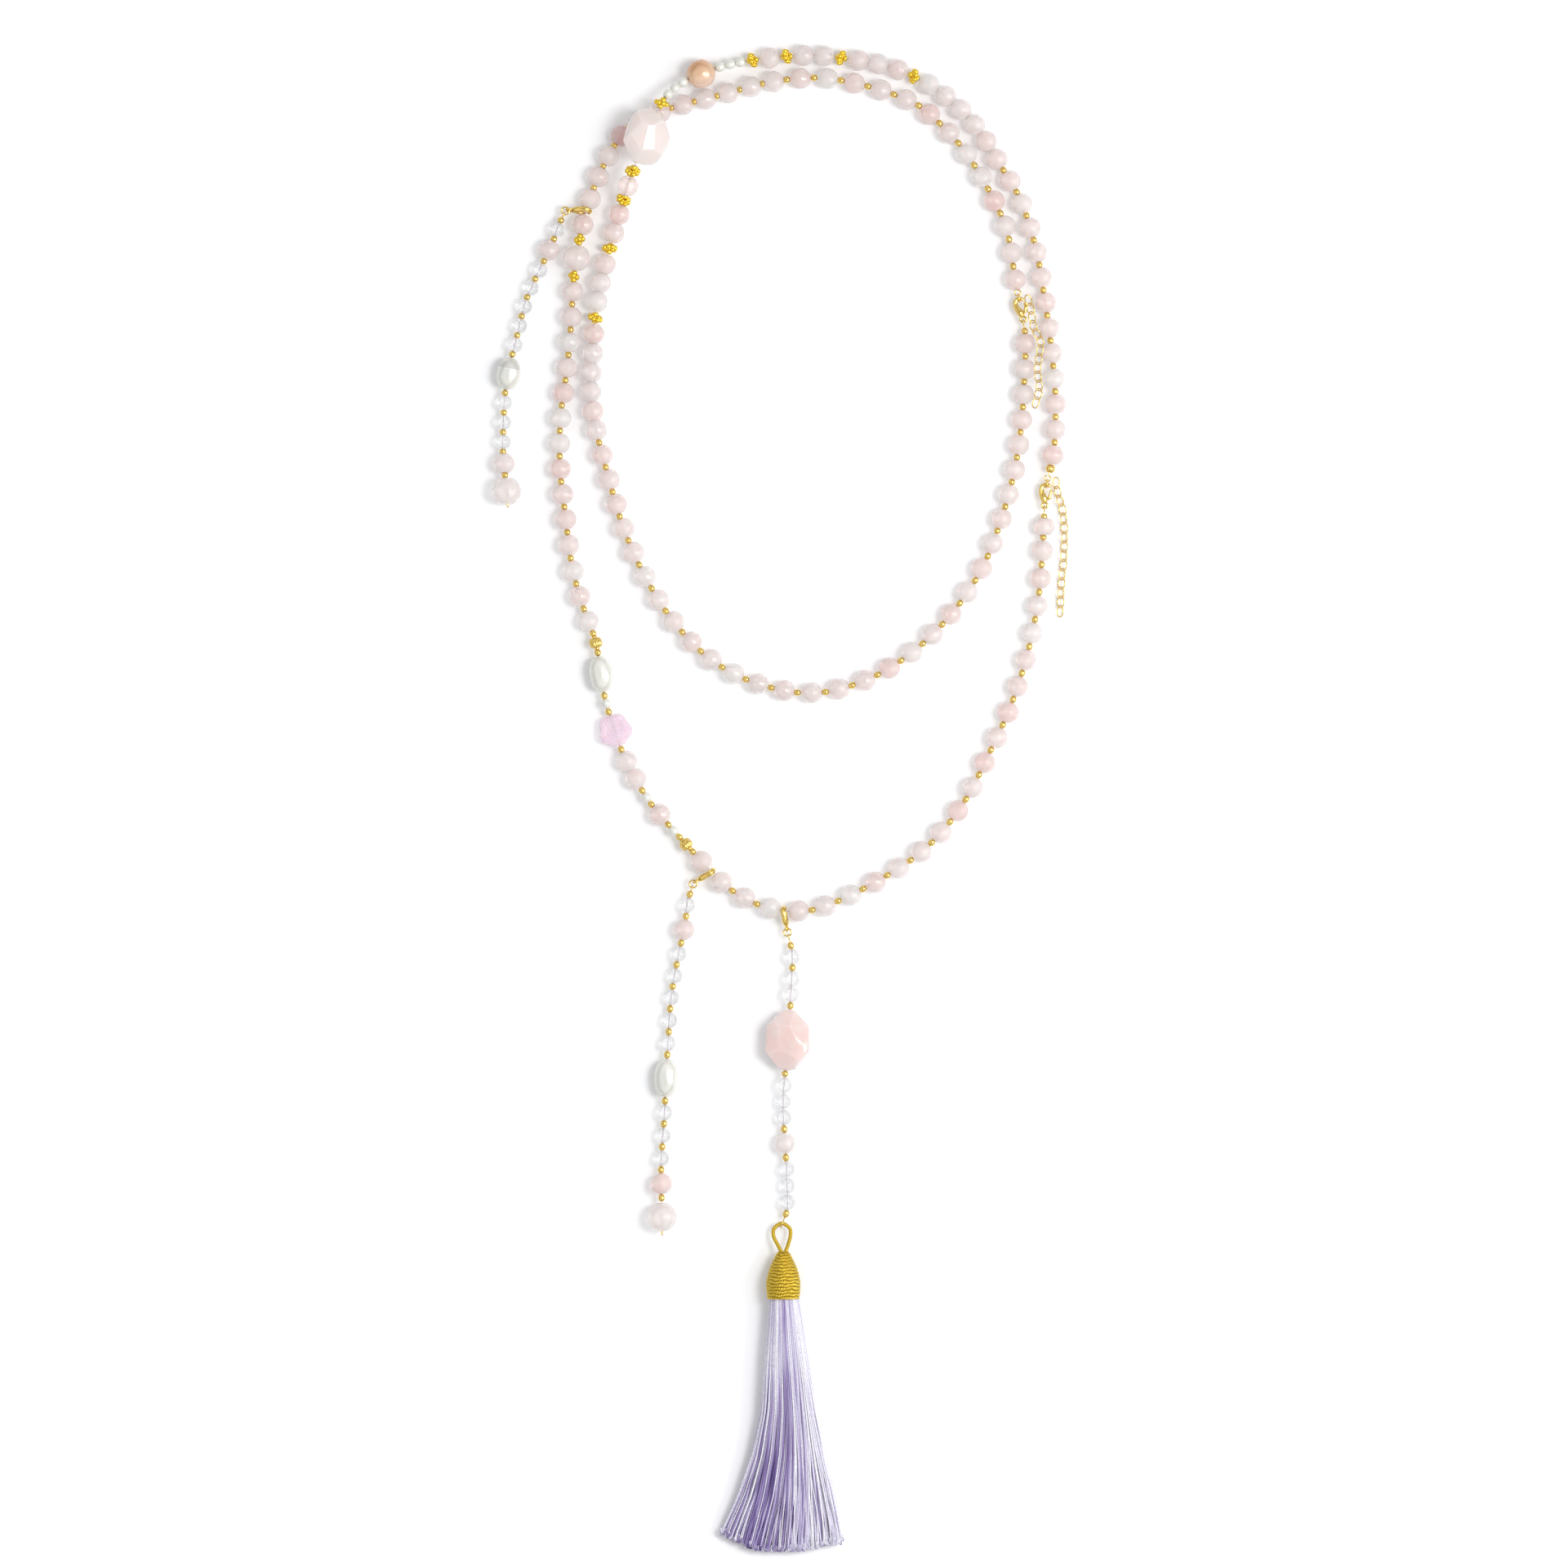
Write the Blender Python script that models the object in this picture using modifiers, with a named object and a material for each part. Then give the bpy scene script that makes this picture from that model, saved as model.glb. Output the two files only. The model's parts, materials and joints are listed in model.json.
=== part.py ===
"""Rose quartz prayer beads with clip-on drops and a silk tassel.

Two bead strands are joined end to end by two lobster clasps into one long ring, which lies
doubled: the outer strand makes the outer turn and the inner strand the inner turn. Three
drops clip onto the outer strand by lobster clasps, and the longest one ends in a tassel.

The beads lie flat on the plane z = 0. +Y runs from the tassel to the top of the turns and
+X to the right. Lengths named *_MM and the route points are in millimetres; the scene is
in metres.
"""
import math

import bmesh
import bpy
import numpy as np
from mathutils import Matrix, Vector

MM = 0.001

# ---------------------------------------------------------------- driving dimensions, mm
ROSE_RADIUS_MM = 4.0
ROSE_LENGTH_MM = 7.1
CLEAR_RADIUS_MM = 3.0
CLEAR_LENGTH_MM = 5.4
SEED_RADIUS_MM = 1.85
SEED_LENGTH_MM = 3.7
SPACER_RADIUS_MM = 1.3
SPACER_LENGTH_MM = 2.3
BEAD_END_RADIUS_MM = 1.35
THREAD_RADIUS_MM = 0.25
BORE_RADIUS_MM = 0.55
GAP_MM = 0.3
BEAD_GAP_MM = 0.4
HALF_GAP_MM = GAP_MM / 2
STEP_MM = 0.04
SAME_RADIUS_MM = 0.2
FOLD_STUB_MM = 0.95
FOLD_CLEAR_MM = 0.2
BEND_STUB_MM = 0.95
BEND_CLEAR_MM = 0.15
CLASP_SLOT_MM = 2.9
EYE_RADIUS_MM = 1.1
EYE_OPENING_DEGREES = 64.0
EYE_STEPS = 9

CLASP_EYE_RADIUS_MM = 1.05
CLASP_EYE_WIRE_MM = 0.38
HOOK_CENTRE_MM = 5.9
HOOK_RADIUS_MM = 1.75
THREAD_IN_HOOK_MM = 6.45
LEVER_PIVOT_MM = (2.7, -1.05)
STRAND_EYE_SET_MM = 2.2
JUMP_RING_RADIUS_MM = 1.4
JUMP_RING_WIRE_MM = 0.3
JUMP_RING_SET_MM = 0.45
DROP_NECK_MM = 2.8
END_RING_RADIUS_MM = 1.6
END_RING_WIRE_MM = 0.3
END_RING_SET_MM = 8.0

LINK_RADIUS_MM = 1.6
LINK_WAIST_MM = 0.6
# A chain link's outline: part of its pitch, radius
LINK_OUTLINE = ((0.08, LINK_WAIST_MM), (0.3, LINK_RADIUS_MM), (0.7, LINK_RADIUS_MM),
                (0.92, LINK_WAIST_MM))

TASSEL_EYE_RADIUS_MM = 1.6
CORD_RADIUS_MM = 0.75
LOOP_ROUTE = [
    (0.4, -165.8, 6), (-0.8, -163.6, 5.4), (-2.2, -160.6, 4.6), (-1.9, -157.8, 4.1),
    (0.9, -156.05, 4), (3.7, -157.8, 4.1), (4, -160.6, 4.6), (3.2, -163.6, 5.4),
    (2.4, -165.8, 6),
]
CAP_TOP = (1.4, -166.6, 6.45)
CAP_LENGTH_MM = 17.2
CAP_RADIUS_MM = 6.4
SKIRT_TOP_Y_MM = -184.1
SKIRT_END_Y_MM = -276.6

# ---------------------------------------------------------------- routes of the threads, mm
OUTER_ROUTE = [
    (87.2, 186.6, 4), (86.4, 190.6, 4), (83.4, 208.4, 4), (76, 224.6, 4), (66.2, 239.8, 4),
    (52.6, 253.2, 4), (44, 257.4, 4), (35, 260.7, 4), (15.4, 264.4, 4), (-3.4, 262.8, 4),
    (-22.4, 257.9, 4), (-41, 253, 4), (-50, 249.2, 4), (-57.7, 244, 4), (-66.5, 228.3, 4),
    (-70.6, 216, 4), (-72.2, 211, 4.3), (-74.4, 199.4, 5.5), (-75.8, 188.5, 4.2),
    (-76.4, 176, 4), (-78, 158.2, 4), (-80.4, 140, 4), (-80.6, 121.4, 4), (-78.5, 102.8, 4),
    (-76.6, 87.5, 4), (-73.6, 74.8, 4), (-70.4, 65.5, 4), (-67.5, 57.6, 4), (-65.8, 47.2, 4.8),
    (-64, 36.2, 4), (-61, 26.6, 3.4), (-57.2, 15.8, 4), (-49.8, 1.8, 4), (-44.8, -5, 4),
    (-38.6, -12.2, 4), (-29, -22.7, 4), (-21.6, -30.6, 4), (-13, -36.6, 4), (-3, -40.6, 4),
    (8, -41.4, 4), (18, -39.2, 4), (36.8, -29.9, 4), (54, -18, 4), (67.2, -2.2, 4),
    (76.6, 15.8, 4), (84.8, 33.8, 4), (90.9, 52.7, 4), (94.8, 72, 4), (96.5, 91, 4),
    (97.2, 105.3, 4),
]
INNER_ROUTE = [
    (98.7, 118.5, 4), (99.6, 121.8, 4), (100.8, 127.4, 4), (101.3, 146.8, 4),
    (99.8, 165.2, 4), (97.3, 183.4, 4), (94.3, 201, 4), (89.2, 217.9, 4),
    (84.9, 226.2, 4), (80.1, 233.9, 4), (72.6, 246.5, 4),
    (67.4, 252, 4), (56.6, 261.3, 4), (50.6, 264.3, 4), (45, 267, 4), (38, 269.3, 4),
    (24, 271.6, 4), (10.3, 273, 4), (3.8, 272.3, 4), (-2.5, 272, 4), (-9.2, 271, 4),
    (-17.2, 269.6, 4.2), (-28.4, 266.4, 6), (-34.8, 263, 7.8), (-40.2, 258.8, 11),
    (-43.6, 254.2, 13.4), (-48.4, 242.2, 15.4), (-53.6, 230.4, 12.4), (-55.6, 224.8, 9.2),
    (-57.4, 218.9, 5.6), (-59.2, 213.2, 4), (-62.7, 200.5, 4), (-66.2, 187.8, 4),
    (-67.8, 175, 4), (-68.7, 163.3, 4), (-69.3, 149.2, 4), (-67.3, 135.2, 4),
    (-62.6, 117.1, 4), (-57.2, 99, 4), (-49.6, 81.8, 4), (-39.3, 65.4, 4), (-25.2, 50.9, 4),
    (-7.3, 41.8, 4), (13, 38.6, 4), (32.8, 43.8, 4), (49.6, 54.3, 4), (63.6, 68.3, 4),
    (74.4, 84.6, 4), (81.5, 102.8, 4), (86.4, 121.3, 4), (89, 139.8, 4), (90, 158.3, 4),
    (90.4, 167.5, 4), (89.7, 173.6, 4),
]
DROP_1_ROUTE = [
    (-81.4, 209.6, 3.7), (-83.9, 202.4, 4), (-88, 194.3, 3.5), (-91, 187.8, 3.1),
    (-93.7, 180.9, 3.1), (-97, 167, 3.5), (-99.8, 156.2, 5.2), (-101, 145.3, 3.7),
    (-101.6, 130.8, 3.5), (-101.1, 122.2, 4.3), (-100.1, 112.4, 6), (-99.7, 106.5, 6),
]
DROP_2_ROUTE = [
    (-33.9, -38.6, 3.8), (-34.8, -47.6, 4), (-37, -57, 3.4), (-39.8, -73.3, 3.1),
    (-40.9, -89.5, 3.5), (-41.8, -102.6, 5.4), (-42.2, -115.6, 3.6), (-43.4, -132.8, 3.5),
    (-43.4, -142.6, 4.5), (-43.1, -154.5, 6.1), (-43.1, -160.6, 6),
]
DROP_3_ROUTE = [
    (4.8, -58.6, 3.7), (4.2, -72, 4.87), (3.2, -89.2, 6.05), (1.7, -104.6, 4.83), (1.4, -116, 3.2),
    (2, -125.8, 4), (2.8, -141.2, 3.2), (2.9, -150.6, 3.8), (1.6, -154.6, 4),
]
CHAIN_1_ROUTE = [
    (90.9, 184.2, 7.6), (92.2, 178.6, 8.4), (93.4, 172, 8.8), (95.6, 168, 8.4),
    (95.2, 162, 7.9), (94.6, 156.4, 7.9), (95.3, 150.6, 7.9), (93.6, 143.6, 7.9),
]
CHAIN_2_ROUTE = [
    (101.3, 117.4, 3.6), (102.2, 112, 2.2), (103.8, 106.6, 1.8), (104.6, 99, 1.8),
    (104.4, 88, 1.8), (103.6, 80, 1.8), (103, 67, 1.8),
]

# Places where the threads are crossed by a joint or pass through a clasp, mm
OUTER_SPLIT = (1.4, 264.3)
OUTER_FOLD_LEFT = (-78.0, 98.0)
OUTER_FOLD_RIGHT = (96.9, 95.8)
DROP_HOLDS = ((-70.6, 215.7), (-25.3, -26.8), (1.63, -41.32))
INNER_SPLIT_TOP = (78.0, 237.3)
INNER_SPLIT_NUGGET = (-54.8, 227.4)
INNER_FOLD_LEFT = (-55.8, 94.7)
INNER_FOLD_RIGHT = (79.9, 98.2)
INNER_SPLIT_LOW = (7.8, 38.7)
DROP_BENDS = ((-94.8, 177.3), (-39.2, -69.2), (1.7, -100.9))

# Bearings in degrees from +X: eye to hook of each clasp, eye to jump ring, ring to drop
DROP_BEARINGS = ((-3.0, 217.0, 245.0), (33.0, 245.0, 253.0), (98.0, 282.0, 284.0))
STRAND_CLASP_BEARINGS = (101.0, 84.0)
CHAIN_1_LINKS = 13
CHAIN_2_LINKS = 15
CHAIN_BEND_LINK = 6

COLLECTION = "rose_quartz_prayer_beads"
FINISHES = {
    "rose_quartz": ((0.83, 0.62, 0.6), 0.18, 0.0),
    "clear_quartz": ((0.86, 0.88, 0.9), 0.08, 0.0),
    "star_glass": ((0.85, 0.6, 0.75), 0.15, 0.0),
    "ivory_pearl": ((0.86, 0.84, 0.76), 0.25, 0.0),
    "peach_pearl": ((0.85, 0.6, 0.45), 0.25, 0.0),
    "gold": ((0.8, 0.55, 0.18), 0.2, 1.0),
    "gold_cord": ((0.62, 0.45, 0.2), 0.45, 0.6),
    "lilac_silk": ((0.45, 0.36, 0.55), 0.55, 0.0),
}


# ---------------------------------------------------------------- scene helpers
def clear_scene():
    for old in list(bpy.context.scene.objects):
        bpy.data.objects.remove(old, do_unlink=True)


def new_collection(name):
    collection = bpy.data.collections.new(name)
    bpy.context.scene.collection.children.link(collection)
    return collection


def finish(piece, kind):
    """Give a piece its own Principled material."""
    colour, roughness, metallic = FINISHES[kind]
    material = bpy.data.materials.new(f"{piece.name}_{kind}")
    material.use_nodes = True
    shader = material.node_tree.nodes["Principled BSDF"]
    shader.inputs["Base Color"].default_value = (*colour, 1.0)
    shader.inputs["Roughness"].default_value = roughness
    shader.inputs["Metallic"].default_value = metallic
    material.diffuse_color = (*colour, 1.0)
    piece.data.materials.append(material)


def axis_empty(name, place):
    """An empty on a joint's axis, which the moving pieces hang from."""
    empty = bpy.data.objects.new(name, None)
    empty.location = place
    parts.objects.link(empty)
    return empty


def hang(piece, empty):
    """Parent a piece to an empty, and leave the piece where it is."""
    piece.parent = empty
    piece.matrix_parent_inverse = Matrix.Translation(empty.location).inverted()


def upright_frame(place, forward):
    """Axes at a place: Z forward along the thread, Y as near to up as it can be."""
    z_axis = forward.normalized()
    y_axis = (Vector((0, 0, 1)) - z_axis * z_axis.z).normalized()
    x_axis = y_axis.cross(z_axis)
    turn = Matrix((x_axis, y_axis, z_axis)).transposed().to_4x4()
    return Matrix.Translation(place) @ turn


def mesh_object(name, bm, kind, collection=None):
    mesh = bpy.data.meshes.new(name)
    bmesh.ops.recalc_face_normals(bm, faces=bm.faces[:])
    bm.to_mesh(mesh)
    bm.free()
    piece = bpy.data.objects.new(name, mesh)
    (collection or parts).objects.link(piece)
    if kind:
        finish(piece, kind)
    return piece


def shade_round(piece):
    piece.data.shade_smooth()
    piece.data.set_sharp_from_angle(angle=math.radians(40))


# ---------------------------------------------------------------- threads and what is on them
class Route:
    """A smooth curve through hand-set points, walked by its length."""

    def __init__(self, points_mm, steps=16):
        ends = [2 * np.array(points_mm[0]) - np.array(points_mm[1]),
                2 * np.array(points_mm[-1]) - np.array(points_mm[-2])]
        knots = np.vstack([ends[0], np.array(points_mm, float), ends[1]]) * MM
        curve = [self.between(knots[i - 1:i + 3], step / steps)
                 for i in range(1, len(knots) - 2) for step in range(steps)]
        self.track = np.array(curve + [knots[-2]])
        strides = np.linalg.norm(np.diff(self.track, axis=0), axis=1)
        self.stations = np.concatenate([[0.0], np.cumsum(strides)])
        self.length = self.stations[-1]

    @staticmethod
    def between(knots, t):
        """The Catmull-Rom curve between the two middle knots of four."""
        before, start, end, after = knots
        return 0.5 * (2 * start + (end - before) * t
                      + (2 * before - 5 * start + 4 * end - after) * t ** 2
                      + (3 * start - before - 3 * end + after) * t ** 3)

    def point(self, station):
        return Vector([float(np.interp(station, self.stations, self.track[:, axis]))
                       for axis in range(3)])

    def heading(self, station, reach=0.0008):
        ahead = self.point(min(station + reach, self.length))
        behind = self.point(max(station - reach, 0.0))
        return (ahead - behind).normalized()

    def near(self, place_mm):
        away = np.linalg.norm(self.track[:, :2] - np.array(place_mm) * MM, axis=1)
        return float(self.stations[int(away.argmin())])


def barrel(length_mm, radius_mm, shoulder=0.27, shoulder_radius=0.93):
    """A round bead's outline: (part of its length from the middle, radius) pairs."""
    return length_mm, [(-0.5, BEAD_END_RADIUS_MM), (-shoulder, radius_mm * shoulder_radius),
                       (shoulder, radius_mm * shoulder_radius), (0.5, BEAD_END_RADIUS_MM)]


def plain(length_mm, radius_mm):
    return length_mm, [(-0.5, radius_mm), (0.5, radius_mm)]


STRUNG = {
    "rose": barrel(ROSE_LENGTH_MM, ROSE_RADIUS_MM),
    "clear": barrel(CLEAR_LENGTH_MM, CLEAR_RADIUS_MM),
    "seed": barrel(SEED_LENGTH_MM, SEED_RADIUS_MM),
    "lantern": barrel(4.8, 2.4),
    "small_daisy": barrel(4.2, 2.3, shoulder=0.15),
    "clamshell": barrel(3.2, 1.9),
    "spacer": plain(SPACER_LENGTH_MM, SPACER_RADIUS_MM),
    "tip": plain(1.2, 0.45),
    "fold_stub": plain(FOLD_STUB_MM, THREAD_RADIUS_MM),
    "bend_stub": plain(BEND_STUB_MM, THREAD_RADIUS_MM),
    "clasp_slot": plain(CLASP_SLOT_MM, THREAD_RADIUS_MM),
    "wire": plain(1.0, THREAD_RADIUS_MM),
}
SEPARATE_LENGTHS = {
    "daisy": 4.8, "peach_pearl": 10.6, "rose_large": 9.6, "rice_pearl": 13.4,
    "star": 11.9, "nugget_strand": 21.4, "nugget_drop": 21.4, "end_bead": 10.6,
}
UNSTRETCHED = {"fold_stub", "bend_stub", "clasp_slot", "wire", "tip"}


def spaced(bead, count):
    """Beads with a gold spacer after each one."""
    return [bead, "spacer"] * count


def piece_length(kind):
    if kind in SEPARATE_LENGTHS:
        return SEPARATE_LENGTHS[kind]
    return STRUNG[kind][0]


def eye_points(neck, outward, side, radius_mm, turns_back):
    """Centreline of a wire eye: a circle that leaves the neck, without closing on itself."""
    radius = radius_mm * MM
    centre = neck + outward * radius
    sweep = 2 * math.pi - math.radians(EYE_OPENING_DEGREES)
    ring = []
    for step in range(EYE_STEPS + 1):
        angle = sweep * step / EYE_STEPS
        ring.append(centre - outward * radius * math.cos(angle) + side * radius * math.sin(angle))
    return ring[::-1] if turns_back else ring


def tube(name, centres, radii_mm, kind, sides_resolution=2):
    """One closed solid swept along the centres, with its own radius at each."""
    curve = bpy.data.curves.new(name, "CURVE")
    curve.dimensions = "3D"
    curve.bevel_depth = MM
    curve.bevel_resolution = sides_resolution
    curve.use_fill_caps = True
    spline = curve.splines.new("POLY")
    spline.points.add(len(centres) - 1)
    for point, centre, radius in zip(spline.points, centres, radii_mm):
        point.co = (*centre, 1.0)
        point.radius = radius
    piece = bpy.data.objects.new(name, curve)
    parts.objects.link(piece)
    if kind:
        finish(piece, kind)
    return piece


def strung_run(name, route, start, end, kinds, start_eye=None, end_eye=None,
               end_eye_mm=EYE_RADIUS_MM):
    """One strung stretch of thread with its beads, from station start to station end.

    Beads that are nodes of their own leave a straight bare thread in this solid; its two ends
    are returned as (kind, start, end) so that they can be made round it.
    """
    fixed = sum(piece_length(kind) for kind in kinds if kind in UNSTRETCHED) * MM
    loose = sum(piece_length(kind) for kind in kinds if kind not in UNSTRETCHED) * MM
    stretch = (end - start - fixed) / loose
    outline = []
    separate = []
    station = start
    for kind in kinds:
        length = piece_length(kind) * MM * (1.0 if kind in UNSTRETCHED else stretch)
        middle = station + length / 2
        if kind in SEPARATE_LENGTHS:
            separate.append((kind, route.point(station), route.point(station + length)))
            rings = plain(0, THREAD_RADIUS_MM)[1]
        else:
            rings = STRUNG[kind][1]
        for part, radius in rings:
            place = middle + part * length
            if outline and place - outline[-1][0] < STEP_MM * MM:
                if abs(outline[-1][1] - radius) < SAME_RADIUS_MM:
                    continue
                place = outline[-1][0] + STEP_MM * MM
            outline.append((place, radius))
        station += length
    centres = [route.point(place) for place, _ in outline]
    radii = [radius for _, radius in outline]
    if start_eye:
        eye = eye_points(centres[0], -route.heading(start), start_eye, EYE_RADIUS_MM, True)
        centres = eye[:-1] + centres
        radii = [THREAD_RADIUS_MM] * (len(eye) - 1) + radii
    if end_eye:
        eye = eye_points(centres[-1], route.heading(end), end_eye, end_eye_mm, False)
        centres = centres + eye[1:]
        radii = radii + [THREAD_RADIUS_MM] * (len(eye) - 1)
    kind = "clear_quartz" if name.startswith("drop") else "rose_quartz"
    return tube(name, centres, radii, kind), separate


# ---------------------------------------------------------------- single beads
def turned(name, outline_mm, kind, steps=16, lobes=0, lobe_depth=0.0, lobe_from_mm=0.0):
    """A bored bead: its outer outline, top to bottom, closed along the bore and screwed."""
    bm = bmesh.new()
    corners = [bm.verts.new((radius * MM, 0, height * MM)) for radius, height in outline_mm]
    for corner, following in zip(corners, corners[1:] + corners[:1]):
        bm.edges.new((corner, following))
    mesh = bpy.data.meshes.new(f"{name}_outline")
    bm.to_mesh(mesh)
    bm.free()
    guide = bpy.data.objects.new(f"{name}_outline", mesh)
    cutters.objects.link(guide)
    screw = guide.modifiers.new("turn", "SCREW")
    screw.steps = steps
    screw.render_steps = steps
    screw.use_merge_vertices = True
    screw.merge_threshold = 0.00001
    evaluated = guide.evaluated_get(bpy.context.evaluated_depsgraph_get())
    bm = bmesh.new()
    bm.from_mesh(evaluated.to_mesh())
    evaluated.to_mesh_clear()
    bpy.data.objects.remove(guide, do_unlink=True)
    bmesh.ops.remove_doubles(bm, verts=bm.verts[:], dist=0.00001)
    for corner in bm.verts:
        if math.hypot(corner.co.x, corner.co.y) > lobe_from_mm * MM > 0:
            swell = 1 + lobe_depth * math.cos(lobes * math.atan2(corner.co.y, corner.co.x))
            corner.co.x *= swell
            corner.co.y *= swell
    piece = mesh_object(name, bm, kind)
    shade_round(piece)
    return piece


def oval_outline(length_mm, radius_mm, rings=4):
    """Outer outline of a round or oval bead, between the two ends of its bore."""
    half = length_mm / 2
    end_angle = math.acos(min(1.0, BEAD_END_RADIUS_MM / radius_mm))
    reach = half / math.sin(end_angle)
    outline = [(BORE_RADIUS_MM, half)]
    for ring in range(2 * rings + 1):
        angle = end_angle * (1 - ring / rings)
        outline.append((radius_mm * math.cos(angle), reach * math.sin(angle)))
    outline.append((BORE_RADIUS_MM, -half))
    return outline


def daisy_outline(length_mm):
    half = length_mm / 2
    return [(BORE_RADIUS_MM, half), (1.25, half), (1.5, half * 0.6), (1.5, half * 0.42),
            (2.7, half * 0.34), (3.0, 0), (2.7, -half * 0.34), (1.5, -half * 0.42),
            (1.5, -half * 0.6), (1.25, -half), (BORE_RADIUS_MM, -half)]


def bored(piece, length):
    """Cut the thread's bore through a piece along its own Z axis."""
    bm = bmesh.new()
    bmesh.ops.create_cone(bm, cap_ends=True, segments=10, radius1=BORE_RADIUS_MM * MM,
                          radius2=BORE_RADIUS_MM * MM, depth=length * 2)
    cutter = mesh_object(f"{piece.name}_bore", bm, None, cutters)
    cutter.hide_render = True
    cutter.display_type = "WIRE"
    cutter.parent = piece
    cut = piece.modifiers.new("bore", "BOOLEAN")
    cut.operation = "DIFFERENCE"
    cut.object = cutter


# A nugget's facets: bearing round the thread's side-to-up plane, tilt along the thread, reach mm
NUGGET_SIDE_FACETS = [
    (0, 4, 8.3), (180, -6, 8.4), (0, 44, 10.4), (0, -42, 10.3), (180, 40, 10.3), (180, -46, 10.6),
]
NUGGET_UPPER_FACETS = [
    (62, 30, 8.0), (118, 26, 8.1), (50, -24, 7.7), (128, -30, 8.3), (90, 52, 8.9),
    (84, -56, 9.3), (38, 6, 7.6), (146, 0, 7.9),
]
NUGGET_LOWER_FACETS = [
    (-60, 34, 8.2), (-122, 30, 8.1), (-58, -32, 8.2), (-124, -36, 8.4), (-90, 58, 9.1),
    (-90, -58, 9.3), (-36, 0, 7.7), (-144, 0, 7.8),
]
NUGGET_HALF_WIDTH_MM = 8.6
NUGGET_HALF_HEIGHT_MM = 5.3


def faceted_nugget(name, length, facets, kind):
    """A stone cut from a block by flat facets, longer along the thread, with a bore."""
    bm = bmesh.new()
    bmesh.ops.create_cube(bm, size=2.0)
    bmesh.ops.scale(bm, verts=bm.verts[:],
                    vec=(NUGGET_HALF_WIDTH_MM * MM, NUGGET_HALF_HEIGHT_MM * MM, length / 2))
    for bearing, tilt, reach in facets:
        around, along = math.radians(bearing), math.radians(tilt)
        normal = Vector((math.cos(around) * math.cos(along),
                         math.sin(around) * math.cos(along), math.sin(along)))
        cut = bmesh.ops.bisect_plane(bm, geom=bm.verts[:] + bm.edges[:] + bm.faces[:],
                                     plane_co=normal * reach * MM, plane_no=normal,
                                     clear_outer=True)
        rim = [part for part in cut["geom_cut"] if isinstance(part, bmesh.types.BMEdge)]
        if rim:
            bmesh.ops.holes_fill(bm, edges=rim)
    bmesh.ops.remove_doubles(bm, verts=bm.verts[:], dist=0.00002)
    piece = mesh_object(name, bm, kind)
    bored(piece, length)
    return piece


STAR_RADIUS_MM = 6.1
STAR_HALF_HEIGHT_MM = 2.9


def star_bead(name, length, kind):
    """A flat glass bead with five round points, standing on its flat back."""
    bm = bmesh.new()
    bmesh.ops.create_uvsphere(bm, u_segments=20, v_segments=8, radius=1.0)
    for corner in bm.verts:
        bearing = math.atan2(corner.co.y, corner.co.x)
        swell = 1 + 0.09 * math.cos(5 * bearing - math.pi / 2)
        spread = STAR_RADIUS_MM * MM * swell
        height = math.copysign(abs(corner.co.z) ** 0.6, corner.co.z) * STAR_HALF_HEIGHT_MM * MM
        corner.co = Vector((corner.co.x * spread, height, corner.co.y * spread))
    shorten = length / 2 / max(abs(corner.co.z) for corner in bm.verts)
    bmesh.ops.scale(bm, verts=bm.verts[:], vec=(1, 1, shorten))
    piece = mesh_object(name, bm, kind)
    shade_round(piece)
    bored(piece, length)
    return piece


def separate_bead(name, bead, start, end):
    """Make the bead that sits round the bare stretch of thread between two points."""
    clear_length = (end - start).length - 2 * BEAD_GAP_MM * MM
    length_mm = clear_length / MM
    if bead == "daisy":
        piece = turned(name, daisy_outline(length_mm), "gold", steps=10, lobes=5,
                       lobe_depth=0.06, lobe_from_mm=2.0)
    elif bead == "peach_pearl":
        piece = turned(name, oval_outline(length_mm, 5.6), "peach_pearl")
    elif bead == "rose_large":
        piece = turned(name, oval_outline(length_mm, 5.05), "rose_quartz")
    elif bead == "rice_pearl":
        piece = turned(name, oval_outline(length_mm, 4.3), "ivory_pearl", steps=12)
    elif bead == "end_bead":
        piece = turned(name, oval_outline(length_mm, 5.5), "rose_quartz")
    elif bead == "star":
        piece = star_bead(name, clear_length, "star_glass")
    else:
        facets = NUGGET_SIDE_FACETS + NUGGET_UPPER_FACETS + NUGGET_LOWER_FACETS
        piece = faceted_nugget(name, clear_length, facets, "rose_quartz")
    piece.matrix_world = upright_frame((start + end) / 2, end - start)
    return piece


# ---------------------------------------------------------------- clasps and rings
def torus_mesh(bm, radius_mm, wire_mm, turn, round_steps=14, wire_steps=6):
    """Add a torus round the local Z axis to bm, then turn and place it."""
    rings = []
    for step in range(round_steps):
        around = 2 * math.pi * step / round_steps
        ring = []
        for wire_step in range(wire_steps):
            angle = 2 * math.pi * wire_step / wire_steps
            reach = (radius_mm + wire_mm * math.cos(angle)) * MM
            place = Vector((reach * math.cos(around), reach * math.sin(around),
                            wire_mm * MM * math.sin(angle)))
            ring.append(bm.verts.new(turn @ place))
        rings.append(ring)
    for ring, following in zip(rings, rings[1:] + rings[:1]):
        for step in range(wire_steps):
            after = (step + 1) % wire_steps
            bm.faces.new((ring[step], following[step], following[after], ring[after]))


def ring_object(name, radius_mm, wire_mm, turn):
    """A closed wire ring."""
    bm = bmesh.new()
    torus_mesh(bm, radius_mm, wire_mm, Matrix.Identity(4))
    piece = mesh_object(name, bm, "gold")
    shade_round(piece)
    piece.matrix_world = turn
    return piece


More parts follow.
